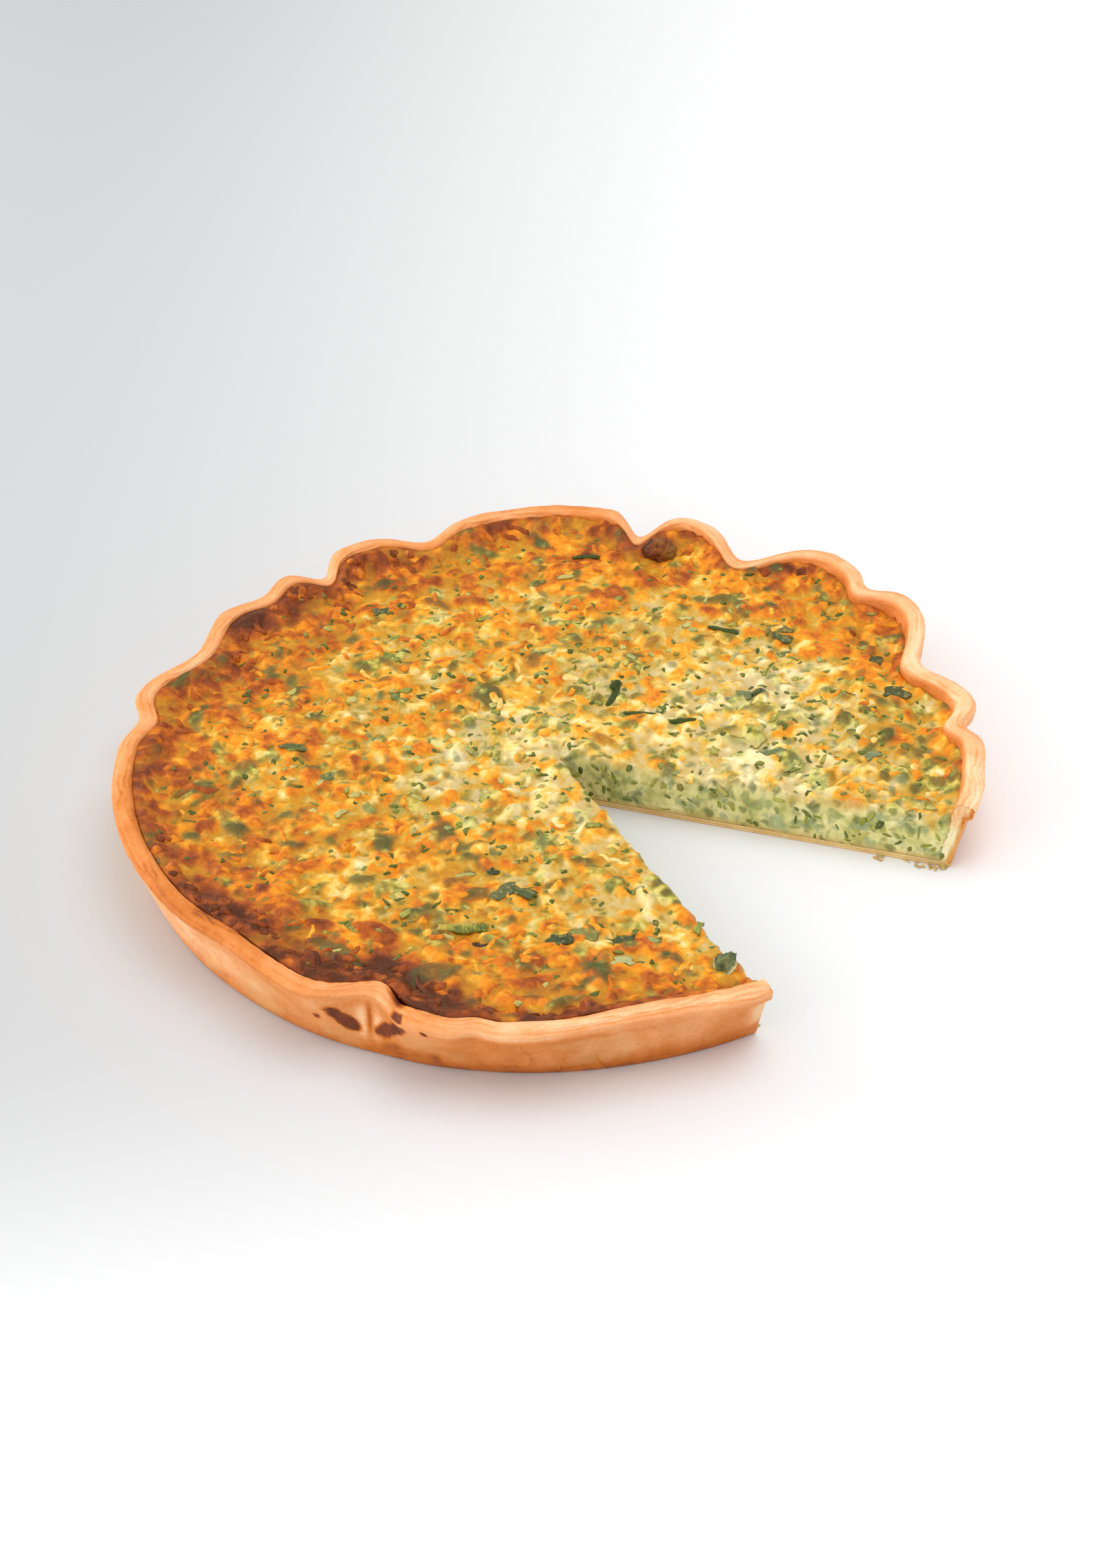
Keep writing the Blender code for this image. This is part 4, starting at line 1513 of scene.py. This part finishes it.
def add_shreds(toppings, name, count, lift, shift, finish):
    """Shreds and lumps of cheese, more than half sunk, each toasted as much as its place and
    its own chance say, and brought a little way towards toasted or cream."""
    def weight(x, y):
        toast = toppings.toast(x, y)
        return np.clip(0.3 + toast if shift > 0 else 1.0 - 0.6 * toast, 0.0, 1.0)

    form = rod_form(7, 7)
    limits = ((1.6, 4.6), (0.9, 1.7), (0.45, 0.80))
    spots, points, _ = toppings.scattered(form, count, weight, 2.0, limits, lift, 0.16, 0.35, 0.88)
    burnt = toppings.burnt(*spots.T)
    level = toppings.toast(*spots.T) + shift + toppings.random.normal(0.0, 0.10, count)
    level = level + 0.55 * burnt
    toppings.piece(name, form, points, finish, "custard", toast=level, glaze=burnt)


def add_burnt_lumps(toppings, finish):
    """Blistered lumps of burnt custard along the wall, from orange brown to nearly black."""
    count = 100

    def weight(x, y):
        return ease((toppings.burnt(x, y) - 0.25) / 0.5)

    form = mound_form(12, 4)
    limits = ((1.6, 3.8), (1.2, 2.4), (0.6, 1.3))
    spots, points, _ = toppings.scattered(form, count, weight, 0.6, limits, -0.30, 0.26, 0.2, 0.75)
    level = 0.80 + 0.40 * toppings.burnt(*spots.T) + toppings.random.normal(0.0, 0.12, count)
    toppings.piece("burnt_lumps", form, points, finish, "custard", toast=level,
                   glaze=np.ones(count))


def add_cut_bits(toppings, name, count, lengths, stops, finish, slot):
    """Bits of herb and leek in the two cut faces, lying along each face and a little proud."""
    draw = toppings.random
    form = mound_form(9, 2)
    side = np.where(draw.random(count) < 0.5, -1.0, 1.0)
    along = draw.uniform(0.002, 0.127, count)
    bearing = 180.0 + side * (180.0 - HALF_SLICE)
    ray = ray_of(bearing)
    out = across_of(bearing) * side[:, None]
    line = SLICE_TIP + ray * along[:, None]
    upper = toppings.map.top(line[:, 0], line[:, 1])
    level = BASE + 0.0010 + (upper - BASE - 0.0026) * draw.random(count)
    sizes = toppings.sizes(count, lengths, (0.5, 1.2), (0.2, 0.4))
    turn = draw.uniform(0.0, math.pi, count)[:, None]
    px, py, pz = np.moveaxis(form[0][None] * sizes[:, None], -1, 0)
    u, v = turned(px, py, turn)
    place = along[:, None] + u
    height = np.clip(level[:, None] + v, BASE, None)
    first = cut_relief(place, height, -1.0)
    relief = np.where(side[:, None] < 0, first, cut_relief(place, height, 1.0))
    depth = 0.9 * relief + (pz - 0.1 * MM)
    xy = SLICE_TIP + ray[:, None] * place[..., None] + out[:, None] * depth[..., None]
    points = np.concatenate((xy, height[..., None]), -1)
    tints = shade_between(draw.random(count), stops) * draw.uniform(0.85, 1.15, (count, 1))
    toppings.piece(name, form, points, finish, slot, tint=tints)


def add_crumbs(toppings, finish):
    """Crumbs on the table by the feet of the two cuts: torn lumps, some greenish, some tan."""
    draw = toppings.random
    count = 44
    form = mound_form(8, 3)
    side = np.where(draw.random(count) < 0.5, -1.0, 1.0)
    bearing = side * HALF_SLICE
    along = 0.128 - 0.022 * draw.random(count) ** 1.6
    away = (0.4 + 2.6 * draw.random(count) ** 2) * MM
    place = SLICE_TIP + ray_of(bearing) * along[:, None]
    x, y = (place - across_of(bearing) * (side * away)[:, None]).T
    sizes = toppings.sizes(count, (0.4, 1.5), (0.3, 1.0), (0.25, 0.7))
    lump = form[0][None] * (1.0 + 0.35 * draw.uniform(-1.0, 1.0, (count, len(form[0]), 1)))
    points = lump * sizes[:, None]
    points = points + np.stack((x, y, sizes[:, 2] * 0.8), -1)[:, None]
    points[..., 2] = np.maximum(points[..., 2], 0.0)
    tints = shade_between(draw.random(count), CRUMB_TINTS)
    toppings.piece("crumbs", form, points, finish, "green_leek", tint=tints)


def middle_of(node):
    """The middle of a node's box."""
    low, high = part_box(node)
    return 0.5 * (np.array(low) + np.array(high))


def add_knot(finish):
    """The browned knot: a rounded lump with the ridges of rolled leek running over it."""
    rows, columns = 40, 56
    polar = np.linspace(0.0, math.pi, rows)[:, None]
    round_it = np.linspace(0.0, math.tau, columns)[None, :]
    unit = np.stack((np.sin(polar) * np.cos(round_it), np.sin(polar) * np.sin(round_it),
                     np.cos(polar) + 0.0 * round_it), -1)
    x, y, z = np.moveaxis(unit, -1, 0)
    bend = 2.5 * layered_grain(x, y, z, 0.7, 501, 2)
    ridges = np.abs(np.sin(5.0 * x + 3.0 * z + 2.0 * bend)) ** 0.7 * 0.16 - 0.10
    lumps = (layered_grain(x, y, z, 0.55, 503, 3) - 0.5) * 0.62
    local = unit * (np.array(KNOT_HALF) * MM) * (1.0 + ridges + lumps)[..., None]
    across, along = turned(local[..., 0], local[..., 1], math.radians(KNOT_TURN))
    points = middle_of("browned_knot") + np.stack((across, along, local[..., 2] + KNOT_LIFT), -1)
    level = 0.62 + 0.5 * x + 1.3 * (layered_grain(x, y, z, 0.4, 505, 3) - 0.5) - 1.8 * lumps
    tinted_piece("browned_knot_detail", points.reshape(-1, 3), [quads(rows, columns)],
                 shade_between(level, KNOT_TINTS).reshape(-1, 3), finish, "browned_knot")


def add_strip(toppings, finish):
    """The flat strip of leek, ribbed across, paler and thinner at one end."""
    rows, columns = 64, 15
    s, t = unit_square(rows, columns)
    thick = np.sqrt(np.clip(1.0 - np.maximum(s ** 8, t ** 4), 0.0, 1.0))
    half_wide = 2.1 * (1.0 - 0.35 * ease((-s - 0.2) / 0.8)) * (1.0 + 0.12 * np.sin(5.0 * s + 1.0))
    ribs = np.sin(s * 40.0 + 0.5 * t + 2.2 * flat_layers(s, t, 0.4, 513, 2)) * ease((s + 0.35) / 0.4)
    px = 7.6 * s + 0.25 * np.sin(4.0 * t)
    py = half_wide * t + 0.35 * s * s
    x, y = turned(px, py, math.radians(STRIP_TURN))
    x = STRIP_PLACE[0] + x * MM
    y = STRIP_PLACE[1] + y * MM
    ground = 0.35 * toppings.map.top(x, y) + 0.65 * (filling_top(x, y) + 0.0004)
    upper = np.stack((x, y, ground + (0.50 + 0.025 * ribs) * thick * MM), -1)
    lower = np.stack((x, y, ground - 0.5 * thick * MM), -1)
    level = 0.54 + 0.22 * s - 0.15 * ribs + 1.2 * (flat_layers(px, py, 1.8, 511, 2) - 0.5)
    tints = shade_between(level, STRIP_TINTS).reshape(-1, 3)
    tinted_piece("leek_strip_detail", np.vstack((upper.reshape(-1, 3), lower.reshape(-1, 3))),
                 two_sheets(rows, columns), np.tile(tints, (2, 1)), finish, "leek_strip")


def add_curl(finish):
    """The curled slice of leek at the front cut: a cupped leaf, pale along its cut edge."""
    rows, columns = 26, 22
    s, t = unit_square(rows, columns)
    ragged = 1.0 + 0.16 * np.sin(4.0 * s + 1.5) + 0.10 * np.sin(9.0 * s)
    along = 4.6 * s * (1.0 - 0.34 * ease((t + 0.2) / 1.2)) + 0.5 * t
    across = 3.8 * t * ragged * (1.0 - 0.30 * s * s)
    cup = 1.5 * (1.0 - s * s) * (1.0 - 0.5 * t * t) - 0.9 * bell(s - 0.25 + 0.3 * t, 0.16)
    cup = cup + 1.6 * (flat_layers(s, t, 0.55, 523, 2) - 0.5)
    thick = 0.34 * (1.0 - np.maximum(np.abs(s), np.abs(t)) ** 6)
    sheets = []
    for side in (1.0, -1.0):
        v, w = turned(across, cup + side * thick, math.radians(CURL_TILT))
        x, y = turned(along, v, math.radians(-HALF_SLICE))
        sheets.append(np.stack((x, y, w - CURL_SINK), -1).reshape(-1, 3) * MM)
    pale = np.maximum(ease((-0.70 - t) / 0.16), ease((s - 0.78) / 0.14))
    level = 0.45 + 0.3 * s + 1.1 * (flat_layers(along, across, 1.6, 521, 2) - 0.5)
    tints = mixed(shade_between(level, CURL_TINTS), paint("DDD49C"), pale).reshape(-1, 3)
    tinted_piece("leek_curl_detail", middle_of("leek_curl") + np.vstack(sheets),
                 two_sheets(rows, columns), np.tile(tints, (2, 1)), finish, "leek_curl")


# ---------------------------------------------------------------- finishes

# Chopped herb in the custard, twice over: turn in degrees, shift, flecks to a metre, size, and
# softness of the edge
HERB_PATTERNS = (
    (28.0, (0.3, 0.2, 0.1), 140.0, 0.50, 0.20),
    (118.0, (0.6, 0.9, 0.4), 205.0, 0.48, 0.17),
)


class Finish:
    """A Principled finish and the nodes that feed it."""

    def __init__(self, name, roughness, specular=0.5):
        self.material = bpy.data.materials.new(name)
        self.material.use_nodes = True
        self.tree = self.material.node_tree
        self.shader = self.tree.nodes["Principled BSDF"]
        self.shader.inputs["Roughness"].default_value = roughness
        self.shader.inputs["Specular IOR Level"].default_value = specular
        self.place = self.add("ShaderNodeTexCoord").outputs["Object"]

    def add(self, kind, inputs=(), **settings):
        """A node with its settings, and its inputs set or linked by name or number."""
        made = self.tree.nodes.new(kind)
        for key, value in settings.items():
            setattr(made, key, value)
        for key, value in dict(inputs).items():
            self.feed(made.inputs[key], value)
        return made

    def feed(self, socket, value):
        """A socket takes a link from another node's output, or a plain value."""
        if isinstance(value, bpy.types.NodeSocket):
            self.tree.links.new(value, socket)
        else:
            socket.default_value = value

    def level(self, name):
        """A level that the piece's points carry."""
        return self.add("ShaderNodeAttribute", attribute_name=name).outputs["Fac"]

    def tint(self):
        """The colour that the piece's points carry."""
        return self.add("ShaderNodeAttribute", attribute_name="tint").outputs["Color"]

    def height(self):
        """Height over the table."""
        return self.add("ShaderNodeSeparateXYZ", {"Vector": self.place}).outputs["Z"]

    def along(self, across, lengthwise):
        """The piece's own layout, stretched so that noise on it turns into fibres."""
        layout = self.add("ShaderNodeUVMap", uv_map="layout").outputs["UV"]
        return self.shifted((0.0, 0.0, 0.0), (across, lengthwise, 1.0), layout)

    def noise(self, scale, detail=2.0, place=None, roughness=0.5, distortion=0.0):
        """Noise with lumps of one over scale, in metres."""
        inputs = {"Vector": place or self.place, "Scale": scale, "Detail": detail,
                  "Roughness": roughness, "Distortion": distortion}
        return self.add("ShaderNodeTexNoise", inputs).outputs["Fac"]

    def shifted(self, offset, scale=(1.0, 1.0, 1.0), place=None, turn=0.0):
        """The place moved, turned by some degrees and stretched, for a pattern of its own."""
        if turn:
            inputs = {"Vector": place or self.place, "Rotation": (0.0, 0.0, math.radians(turn))}
            place = self.add("ShaderNodeMapping", inputs).outputs["Vector"]
        inputs = {"Vector": place or self.place, "Location": offset, "Scale": scale}
        return self.add("ShaderNodeMapping", inputs).outputs["Vector"]

    def flecks(self, place, scale, size, soft, share):
        """Torn flecks: one for each cell of a pattern of points, as large as the cell's own
        chance and a share say, and a second chance of each cell for its colour."""
        cells = self.add("ShaderNodeTexVoronoi", {"Vector": place, "Scale": scale})
        chances = self.add("ShaderNodeSeparateColor", {"Color": cells.outputs["Color"]})
        far = self.times(self.times(chances.outputs[0], share), size)
        inside = self.sum("SUBTRACT", far, cells.outputs["Distance"])
        return self.between(inside, 0.10 - soft, 0.10 + soft), chances.outputs[1]

    def vector(self, operation, first, second):
        """One step of arithmetic on places."""
        other = "Scale" if operation == "SCALE" else 1
        return self.add("ShaderNodeVectorMath", {0: first, other: second}, operation=operation)

    def torn(self, place, scale, amount):
        """The place pushed about by noise, so that the outlines of a pattern are ragged."""
        noise = self.add("ShaderNodeTexNoise", {"Vector": place, "Scale": scale, "Detail": 2.0})
        push = self.vector("SUBTRACT", noise.outputs["Color"], (0.5, 0.5, 0.5)).outputs["Vector"]
        far = self.vector("SCALE", push, amount).outputs["Vector"]
        return self.vector("ADD", place, far).outputs["Vector"]

    def sum(self, operation, first, second, third=None, clamp=False):
        """One step of arithmetic on levels."""
        inputs = {0: first, 1: second}
        if third is not None:
            inputs[2] = third
        return self.add("ShaderNodeMath", inputs, operation=operation, use_clamp=clamp).outputs[0]

    def times(self, first, second):
        """A level times another."""
        return self.sum("MULTIPLY", first, second)

    def pushed(self, level, noise, amount):
        """A level pushed both ways by noise: the noise less a half, times an amount, more."""
        return self.sum("MULTIPLY_ADD", self.sum("SUBTRACT", noise, 0.5), amount, level)

    def between(self, value, low, high, to_low=0.0, to_high=1.0):
        """A smooth step of a level from low to high."""
        inputs = {0: value, 1: low, 2: high, 3: to_low, 4: to_high}
        return self.add("ShaderNodeMapRange", inputs, interpolation_type="SMOOTHSTEP").outputs[0]

    def ramp(self, value, stops):
        """A colour from a level, between stops."""
        made = self.add("ShaderNodeValToRGB", {"Fac": value})
        band = made.color_ramp
        while len(band.elements) < len(stops):
            band.elements.new(0.5)
        for element, (place, code) in zip(band.elements, stops):
            element.position = place
            element.color = (*paint(code), 1.0)
        return made.outputs["Color"]

    def mix(self, amount, first, second, mode="MIX"):
        """Two colours mixed by a level."""
        def colour(value):
            return (*paint(value), 1.0) if isinstance(value, str) else value
        inputs = {0: amount, 6: colour(first), 7: colour(second)}
        made = self.add("ShaderNodeMix", inputs, data_type="RGBA", blend_type=mode, clamp_factor=True)
        return made.outputs[2]

    def bump(self, height, distance, strength=1.0, under=None):
        """Fine relief, on top of any under it."""
        inputs = {"Height": height, "Distance": distance, "Strength": strength}
        if under is not None:
            inputs["Normal"] = under
        return self.add("ShaderNodeBump", inputs).outputs["Normal"]

    def soften(self, weight, radius, scale):
        """Light that goes a little way in and comes out warmer."""
        self.shader.inputs["Subsurface Weight"].default_value = weight
        self.shader.inputs["Subsurface Radius"].default_value = radius
        self.shader.inputs["Subsurface Scale"].default_value = scale

    def finish(self, colour, roughness=None, normal=None):
        """Feeds the shader."""
        self.feed(self.shader.inputs["Base Color"], colour)
        if roughness is not None:
            self.feed(self.shader.inputs["Roughness"], roughness)
        if normal is not None:
            self.feed(self.shader.inputs["Normal"], normal)
        return self.material


def pastry_finish():
    """Baked pastry: its colour from how baked it is, broken up by grain and by streaks that run
    round it; cream patches low on the outside; tiny specks, pits and fibres."""
    work = Finish("baked_pastry", 0.6, 0.22)
    bake = work.level("bake")
    fibres = work.noise(1.0, 3.0, work.along(210.0, 1000.0), 0.6)
    grainy = work.noise(900.0, 3.0)
    patches = work.noise(150.0, 4.0, work.shifted((0.3, 0.1, 0.7)), 0.6, 0.4)
    level = work.pushed(bake, fibres, 0.14)
    level = work.pushed(level, grainy, 0.14)
    level = work.pushed(level, patches, 0.28)
    colour = work.ramp(level, CRUST_STOPS)
    colour = work.mix(work.level("crumb"), colour, work.ramp(level, CRUMB_STOPS))

    creamy = work.between(work.noise(62.0, 3.0, work.shifted((0.2, 0.6, 0.5))), 0.48, 0.66, 0.0, 0.36)
    creamy = work.times(creamy, work.between(work.height(), 0.0165, 0.0195, 1.0, 0.0))
    creamy = work.times(creamy, work.between(bake, 0.58, 0.72, 1.0, 0.0))
    colour = work.mix(creamy, colour, "DCAE74")
    speck = work.between(work.noise(1500.0, 1.0, work.shifted((0.9, 0.4, 0.2))), 0.66, 0.74)
    colour = work.mix(work.times(speck, 0.30), colour, "B06428")

    rough = work.between(work.noise(420.0, 2.0), 0.3, 0.7, 0.50, 0.72)
    fine = work.bump(grainy, 0.00025, 0.55)
    normal = work.bump(fibres, 0.00040, 0.7, fine)
    work.soften(0.08, (1.0, 0.50, 0.20), 0.0012)
    return work.finish(colour, rough, normal)


def cut_colour(work):
    """The inside of the filling: milky custard, mossy with leek in two greens, and tan at the
    foot where it soaks the pastry."""
    milk = work.noise(170.0, 2.6, work.shifted((0.8, 0.2, 0.3)), 0.5, 0.4)
    cut = work.ramp(milk, CUT_STOPS)
    for offset, code in (((0.5, 0.1, 0.4), "7E8C50"), ((0.9, 0.7, 0.2), "8FA27C")):
        mossy = work.noise(190.0, 2.2, work.shifted(offset), 0.5, 0.5)
        cut = work.mix(work.between(mossy, 0.52, 0.64, 0.0, 0.62), cut, code)
    return work.mix(work.between(work.height(), 0.0016, 0.0044, 0.75, 0.0), cut, "D0A862")


def custard_finish():
    """Baked custard and cheese: a colour for how toasted it is, pushed both ways by curds of
    two sizes, green where it is leek, painted shade in dark olive where the top lies low between
    the mounds, with chopped herb set in it; the cut is paler and greener; glossier where it is
    burnt."""
    work = Finish("baked_custard", 0.5, 0.16)
    toast, green, hollow = [work.level(name) for name in ("toast", "green", "hollow")]
    glaze, inside = work.level("glaze"), work.level("inside")
    unburnt = work.sum("SUBTRACT", 1.0, glaze, clamp=True)
    curds = work.noise(250.0, 2.0, work.shifted((0.2, 0.5, 0.1)), 0.5, 0.6)
    crumb = work.noise(560.0, 2.0, work.shifted((0.7, 0.3, 0.6)), 0.5, 0.3)
    level = work.pushed(work.pushed(toast, curds, 0.85), crumb, 0.26)
    highest = 1.5
    stops = [(at / highest, code) for at, code in TOAST_STOPS]
    colour = work.ramp(work.sum("DIVIDE", level, highest), stops)
    mottle = work.noise(240.0, 2.0, work.shifted((0.1, 0.6, 0.9)))
    mottle = work.sum("MULTIPLY_ADD", toast, 0.36, mottle)
    leek = work.ramp(work.between(mottle, 0.40, 0.82), LEEK_STOPS)
    colour = work.mix(work.between(green, 0.0, 0.9, 0.0, 0.85), colour, leek)
    # Painted shade: dark olive where the top lies low between the mounds.
    colour = work.mix(work.times(work.times(hollow, 0.48), unburnt), colour, "8A701E")
    colour = work.mix(inside, colour, cut_colour(work))

    herbs = work.sum("MULTIPLY_ADD", toast, -0.42, 1.12)
    herbs = work.times(work.sum("MAXIMUM", herbs, inside), unburnt)
    ragged = work.torn(work.place, 330.0, 0.0034)
    for turn, offset, scale, size, soft in HERB_PATTERNS:
        place = work.shifted(offset, (1.0, 1.6, 1.1), ragged, turn)
        fleck, tone = work.flecks(place, scale, size, soft, herbs)
        colour = work.mix(work.times(fleck, 0.66), colour, work.ramp(tone, FLECK_STOPS))

    rough = work.between(work.noise(300.0, 2.0), 0.35, 0.65, 0.42, 0.60)
    rough = work.sum("MULTIPLY_ADD", glaze, -0.16, rough)
    pits = work.bump(crumb, 0.0004, 0.30)
    normal = work.bump(curds, 0.0024, 0.6, pits)
    work.soften(0.12, (1.0, 0.55, 0.22), 0.0016)
    return work.finish(colour, rough, normal)


def leek_finish():
    """Cooked leek: the tint of each piece, with fine ribs along it, mottled, satin."""
    work = Finish("cooked_leek", 0.42, 0.3)
    ribs = work.noise(1.0, 2.0, work.along(120.0, 1900.0), 0.6)
    mottle = work.noise(700.0, 3.0)
    dark = work.times(work.between(ribs, 0.48, 0.66), 0.40)
    colour = work.mix(dark, work.tint(), "606028", "MULTIPLY")
    pale = work.times(work.between(mottle, 0.50, 0.66), 0.26)
    colour = work.mix(pale, colour, "D8C46C")
    rough = work.between(mottle, 0.35, 0.65, 0.32, 0.50)
    normal = work.bump(ribs, 0.00025, 0.6, work.bump(mottle, 0.0002, 0.5))
    work.soften(0.10, (0.8, 0.9, 0.3), 0.001)
    return work.finish(colour, rough, normal)


def herb_finish(name, pale_code, amount, low, high):
    """Small dark things: their tint, flecked with a paler one by an amount, creased, and with a
    roughness between low and high."""
    work = Finish(name, 0.5, 0.14)
    mottle = work.noise(1300.0, 2.0)
    creases = work.noise(800.0, 2.0, work.shifted((0.4, 0.1, 0.8), (1.0, 2.2, 1.0)), 0.6, 0.5)
    pale = work.times(work.between(mottle, 0.50, 0.72), amount)
    colour = work.mix(pale, work.tint(), pale_code)
    rough = work.between(creases, 0.35, 0.65, low, high)
    normal = work.bump(creases, 0.0003, 0.6)
    return work.finish(colour, rough, normal)


# ---------------------------------------------------------------- stage, lights and camera

CAMERA_PLACE = (0.4959, -0.5240, 0.5496)
CAMERA_TURN = 43.18
CAMERA_PITCH = 37.09
CAMERA_ROLL = -2.91
CAMERA_LENS = 63.32
FLOOR_HALF = 12.0           # metres, half the floor's side
SURROUNDINGS = 0.82         # strength of the even white light from all round

# Square soft lights that face the middle: place, side in metres, power in watts
LAMPS = {
    "key_light": ((0.26, 0.26, 1.25), 1.0, 7.0),
    "front_light": ((-0.30, -1.15, 0.32), 0.9, 4.8),
    "side_light": ((-1.10, -0.40, 0.35), 0.9, 7.6),
}


def floor_piece():
    """A pale studio floor with painted shade and light: a little darker on the left of the camera,
    and white towards it.
    """
    far = FLOOR_HALF
    corners = np.array(((-far, -far, 0.0), (far, -far, 0.0), (far, far, 0.0), (-far, far, 0.0)))
    mesh = mesh_of("studio_floor", corners, [np.array([[0, 1, 2, 3]])])
    work = Finish("studio_floor", 0.7, 0.2)
    right = (math.cos(math.radians(CAMERA_TURN)), math.sin(math.radians(CAMERA_TURN)), 0.0)
    front = (right[1], -right[0], 0.0)
    across = work.vector("DOT_PRODUCT", work.place, right).outputs["Value"]
    near = work.vector("DOT_PRODUCT", work.place, front).outputs["Value"]
    # Painted shade on the left of the camera, and painted light, white, towards it and over the shadow
    # in front of the quiche.
    colour = work.mix(work.between(across, -0.24, 0.24), "BCBDBE", "F2F2F2")
    colour = work.mix(work.between(near, 0.10, 0.34), colour, "FCFCFC")
    mesh.materials.append(work.finish(colour))
    piece = bpy.data.objects.new("studio_floor", mesh)
    bpy.context.scene.collection.objects.link(piece)


def lamp(name, place, size, power):
    """A square soft light that faces the middle."""
    data = bpy.data.lights.new(name, "AREA")
    data.size = size
    data.energy = power
    light = bpy.data.objects.new(name, data)
    light.location = place
    light.rotation_mode = "QUATERNION"
    light.rotation_quaternion = (-Vector(place)).to_track_quat("-Z", "Y")
    bpy.context.scene.collection.objects.link(light)


def studio_camera():
    """The camera: turned about the upright, pitched down, and rolled a little."""
    data = bpy.data.cameras.new("camera")
    data.lens = CAMERA_LENS
    data.sensor_width = 36.0
    data.clip_start = 0.02
    data.clip_end = 20.0
    camera = bpy.data.objects.new("camera", data)
    turn = Matrix.Rotation(math.radians(CAMERA_TURN), 4, "Z")
    pitch = Matrix.Rotation(math.radians(90.0 - CAMERA_PITCH), 4, "X")
    roll = Matrix.Rotation(math.radians(CAMERA_ROLL), 4, "Z")
    camera.matrix_world = Matrix.Translation(CAMERA_PLACE) @ turn @ pitch @ roll
    bpy.context.scene.collection.objects.link(camera)
    bpy.context.scene.camera = camera


def studio():
    """Even white surroundings, a large soft light from above, weaker ones from the front and
    the left, the floor and the camera."""
    scene = bpy.context.scene
    scene.view_settings.view_transform = "Standard"
    world = bpy.data.worlds.new("studio")
    world.use_nodes = True
    back = world.node_tree.nodes["Background"]
    back.inputs["Color"].default_value = (1.0, 1.0, 1.0, 1.0)
    back.inputs["Strength"].default_value = SURROUNDINGS
    scene.world = world
    for name, (place, size, power) in LAMPS.items():
        lamp(name, place, size, power)
    studio_camera()
    floor_piece()


# ---------------------------------------------------------------- the making

studio()
top_map = FillingMap(7)
custard = custard_finish()
crust_piece(pastry_finish())
filling_piece(top_map, custard)
toppings = Toppings(top_map, 11)
herb = herb_finish("dark_herb", "7F8A34", 0.30, 0.30, 0.55)
cut_herb = herb_finish("cut_herb", "9CA05C", 0.35, 0.40, 0.60)
crumb = herb_finish("loose_crumb", "E6CB8C", 0.35, 0.50, 0.70)
knotted = herb_finish("burnt_leek", "B4602A", 0.35, 0.25, 0.60)
leek = leek_finish()
add_shreds(toppings, "toasted_shreds", 240, -0.15, 0.06, custard)
add_shreds(toppings, "cheese_shreds", 220, -0.26, -0.03, custard)
add_herbs(toppings, herb)
add_leek(toppings, leek)
add_leaves(toppings, leek)
add_chives(toppings, herb)
add_burnt_lumps(toppings, custard)
add_cut_bits(toppings, "cut_herbs", 70, (0.9, 2.6), HERB_STOPS, cut_herb, "dark_leek")
add_cut_bits(toppings, "cut_leek", 80, (1.1, 3.2), GREEN_STOPS, cut_herb, "green_leek")
add_crumbs(toppings, crumb)
add_knot(knotted)
add_strip(toppings, cut_herb)
add_curl(cut_herb)
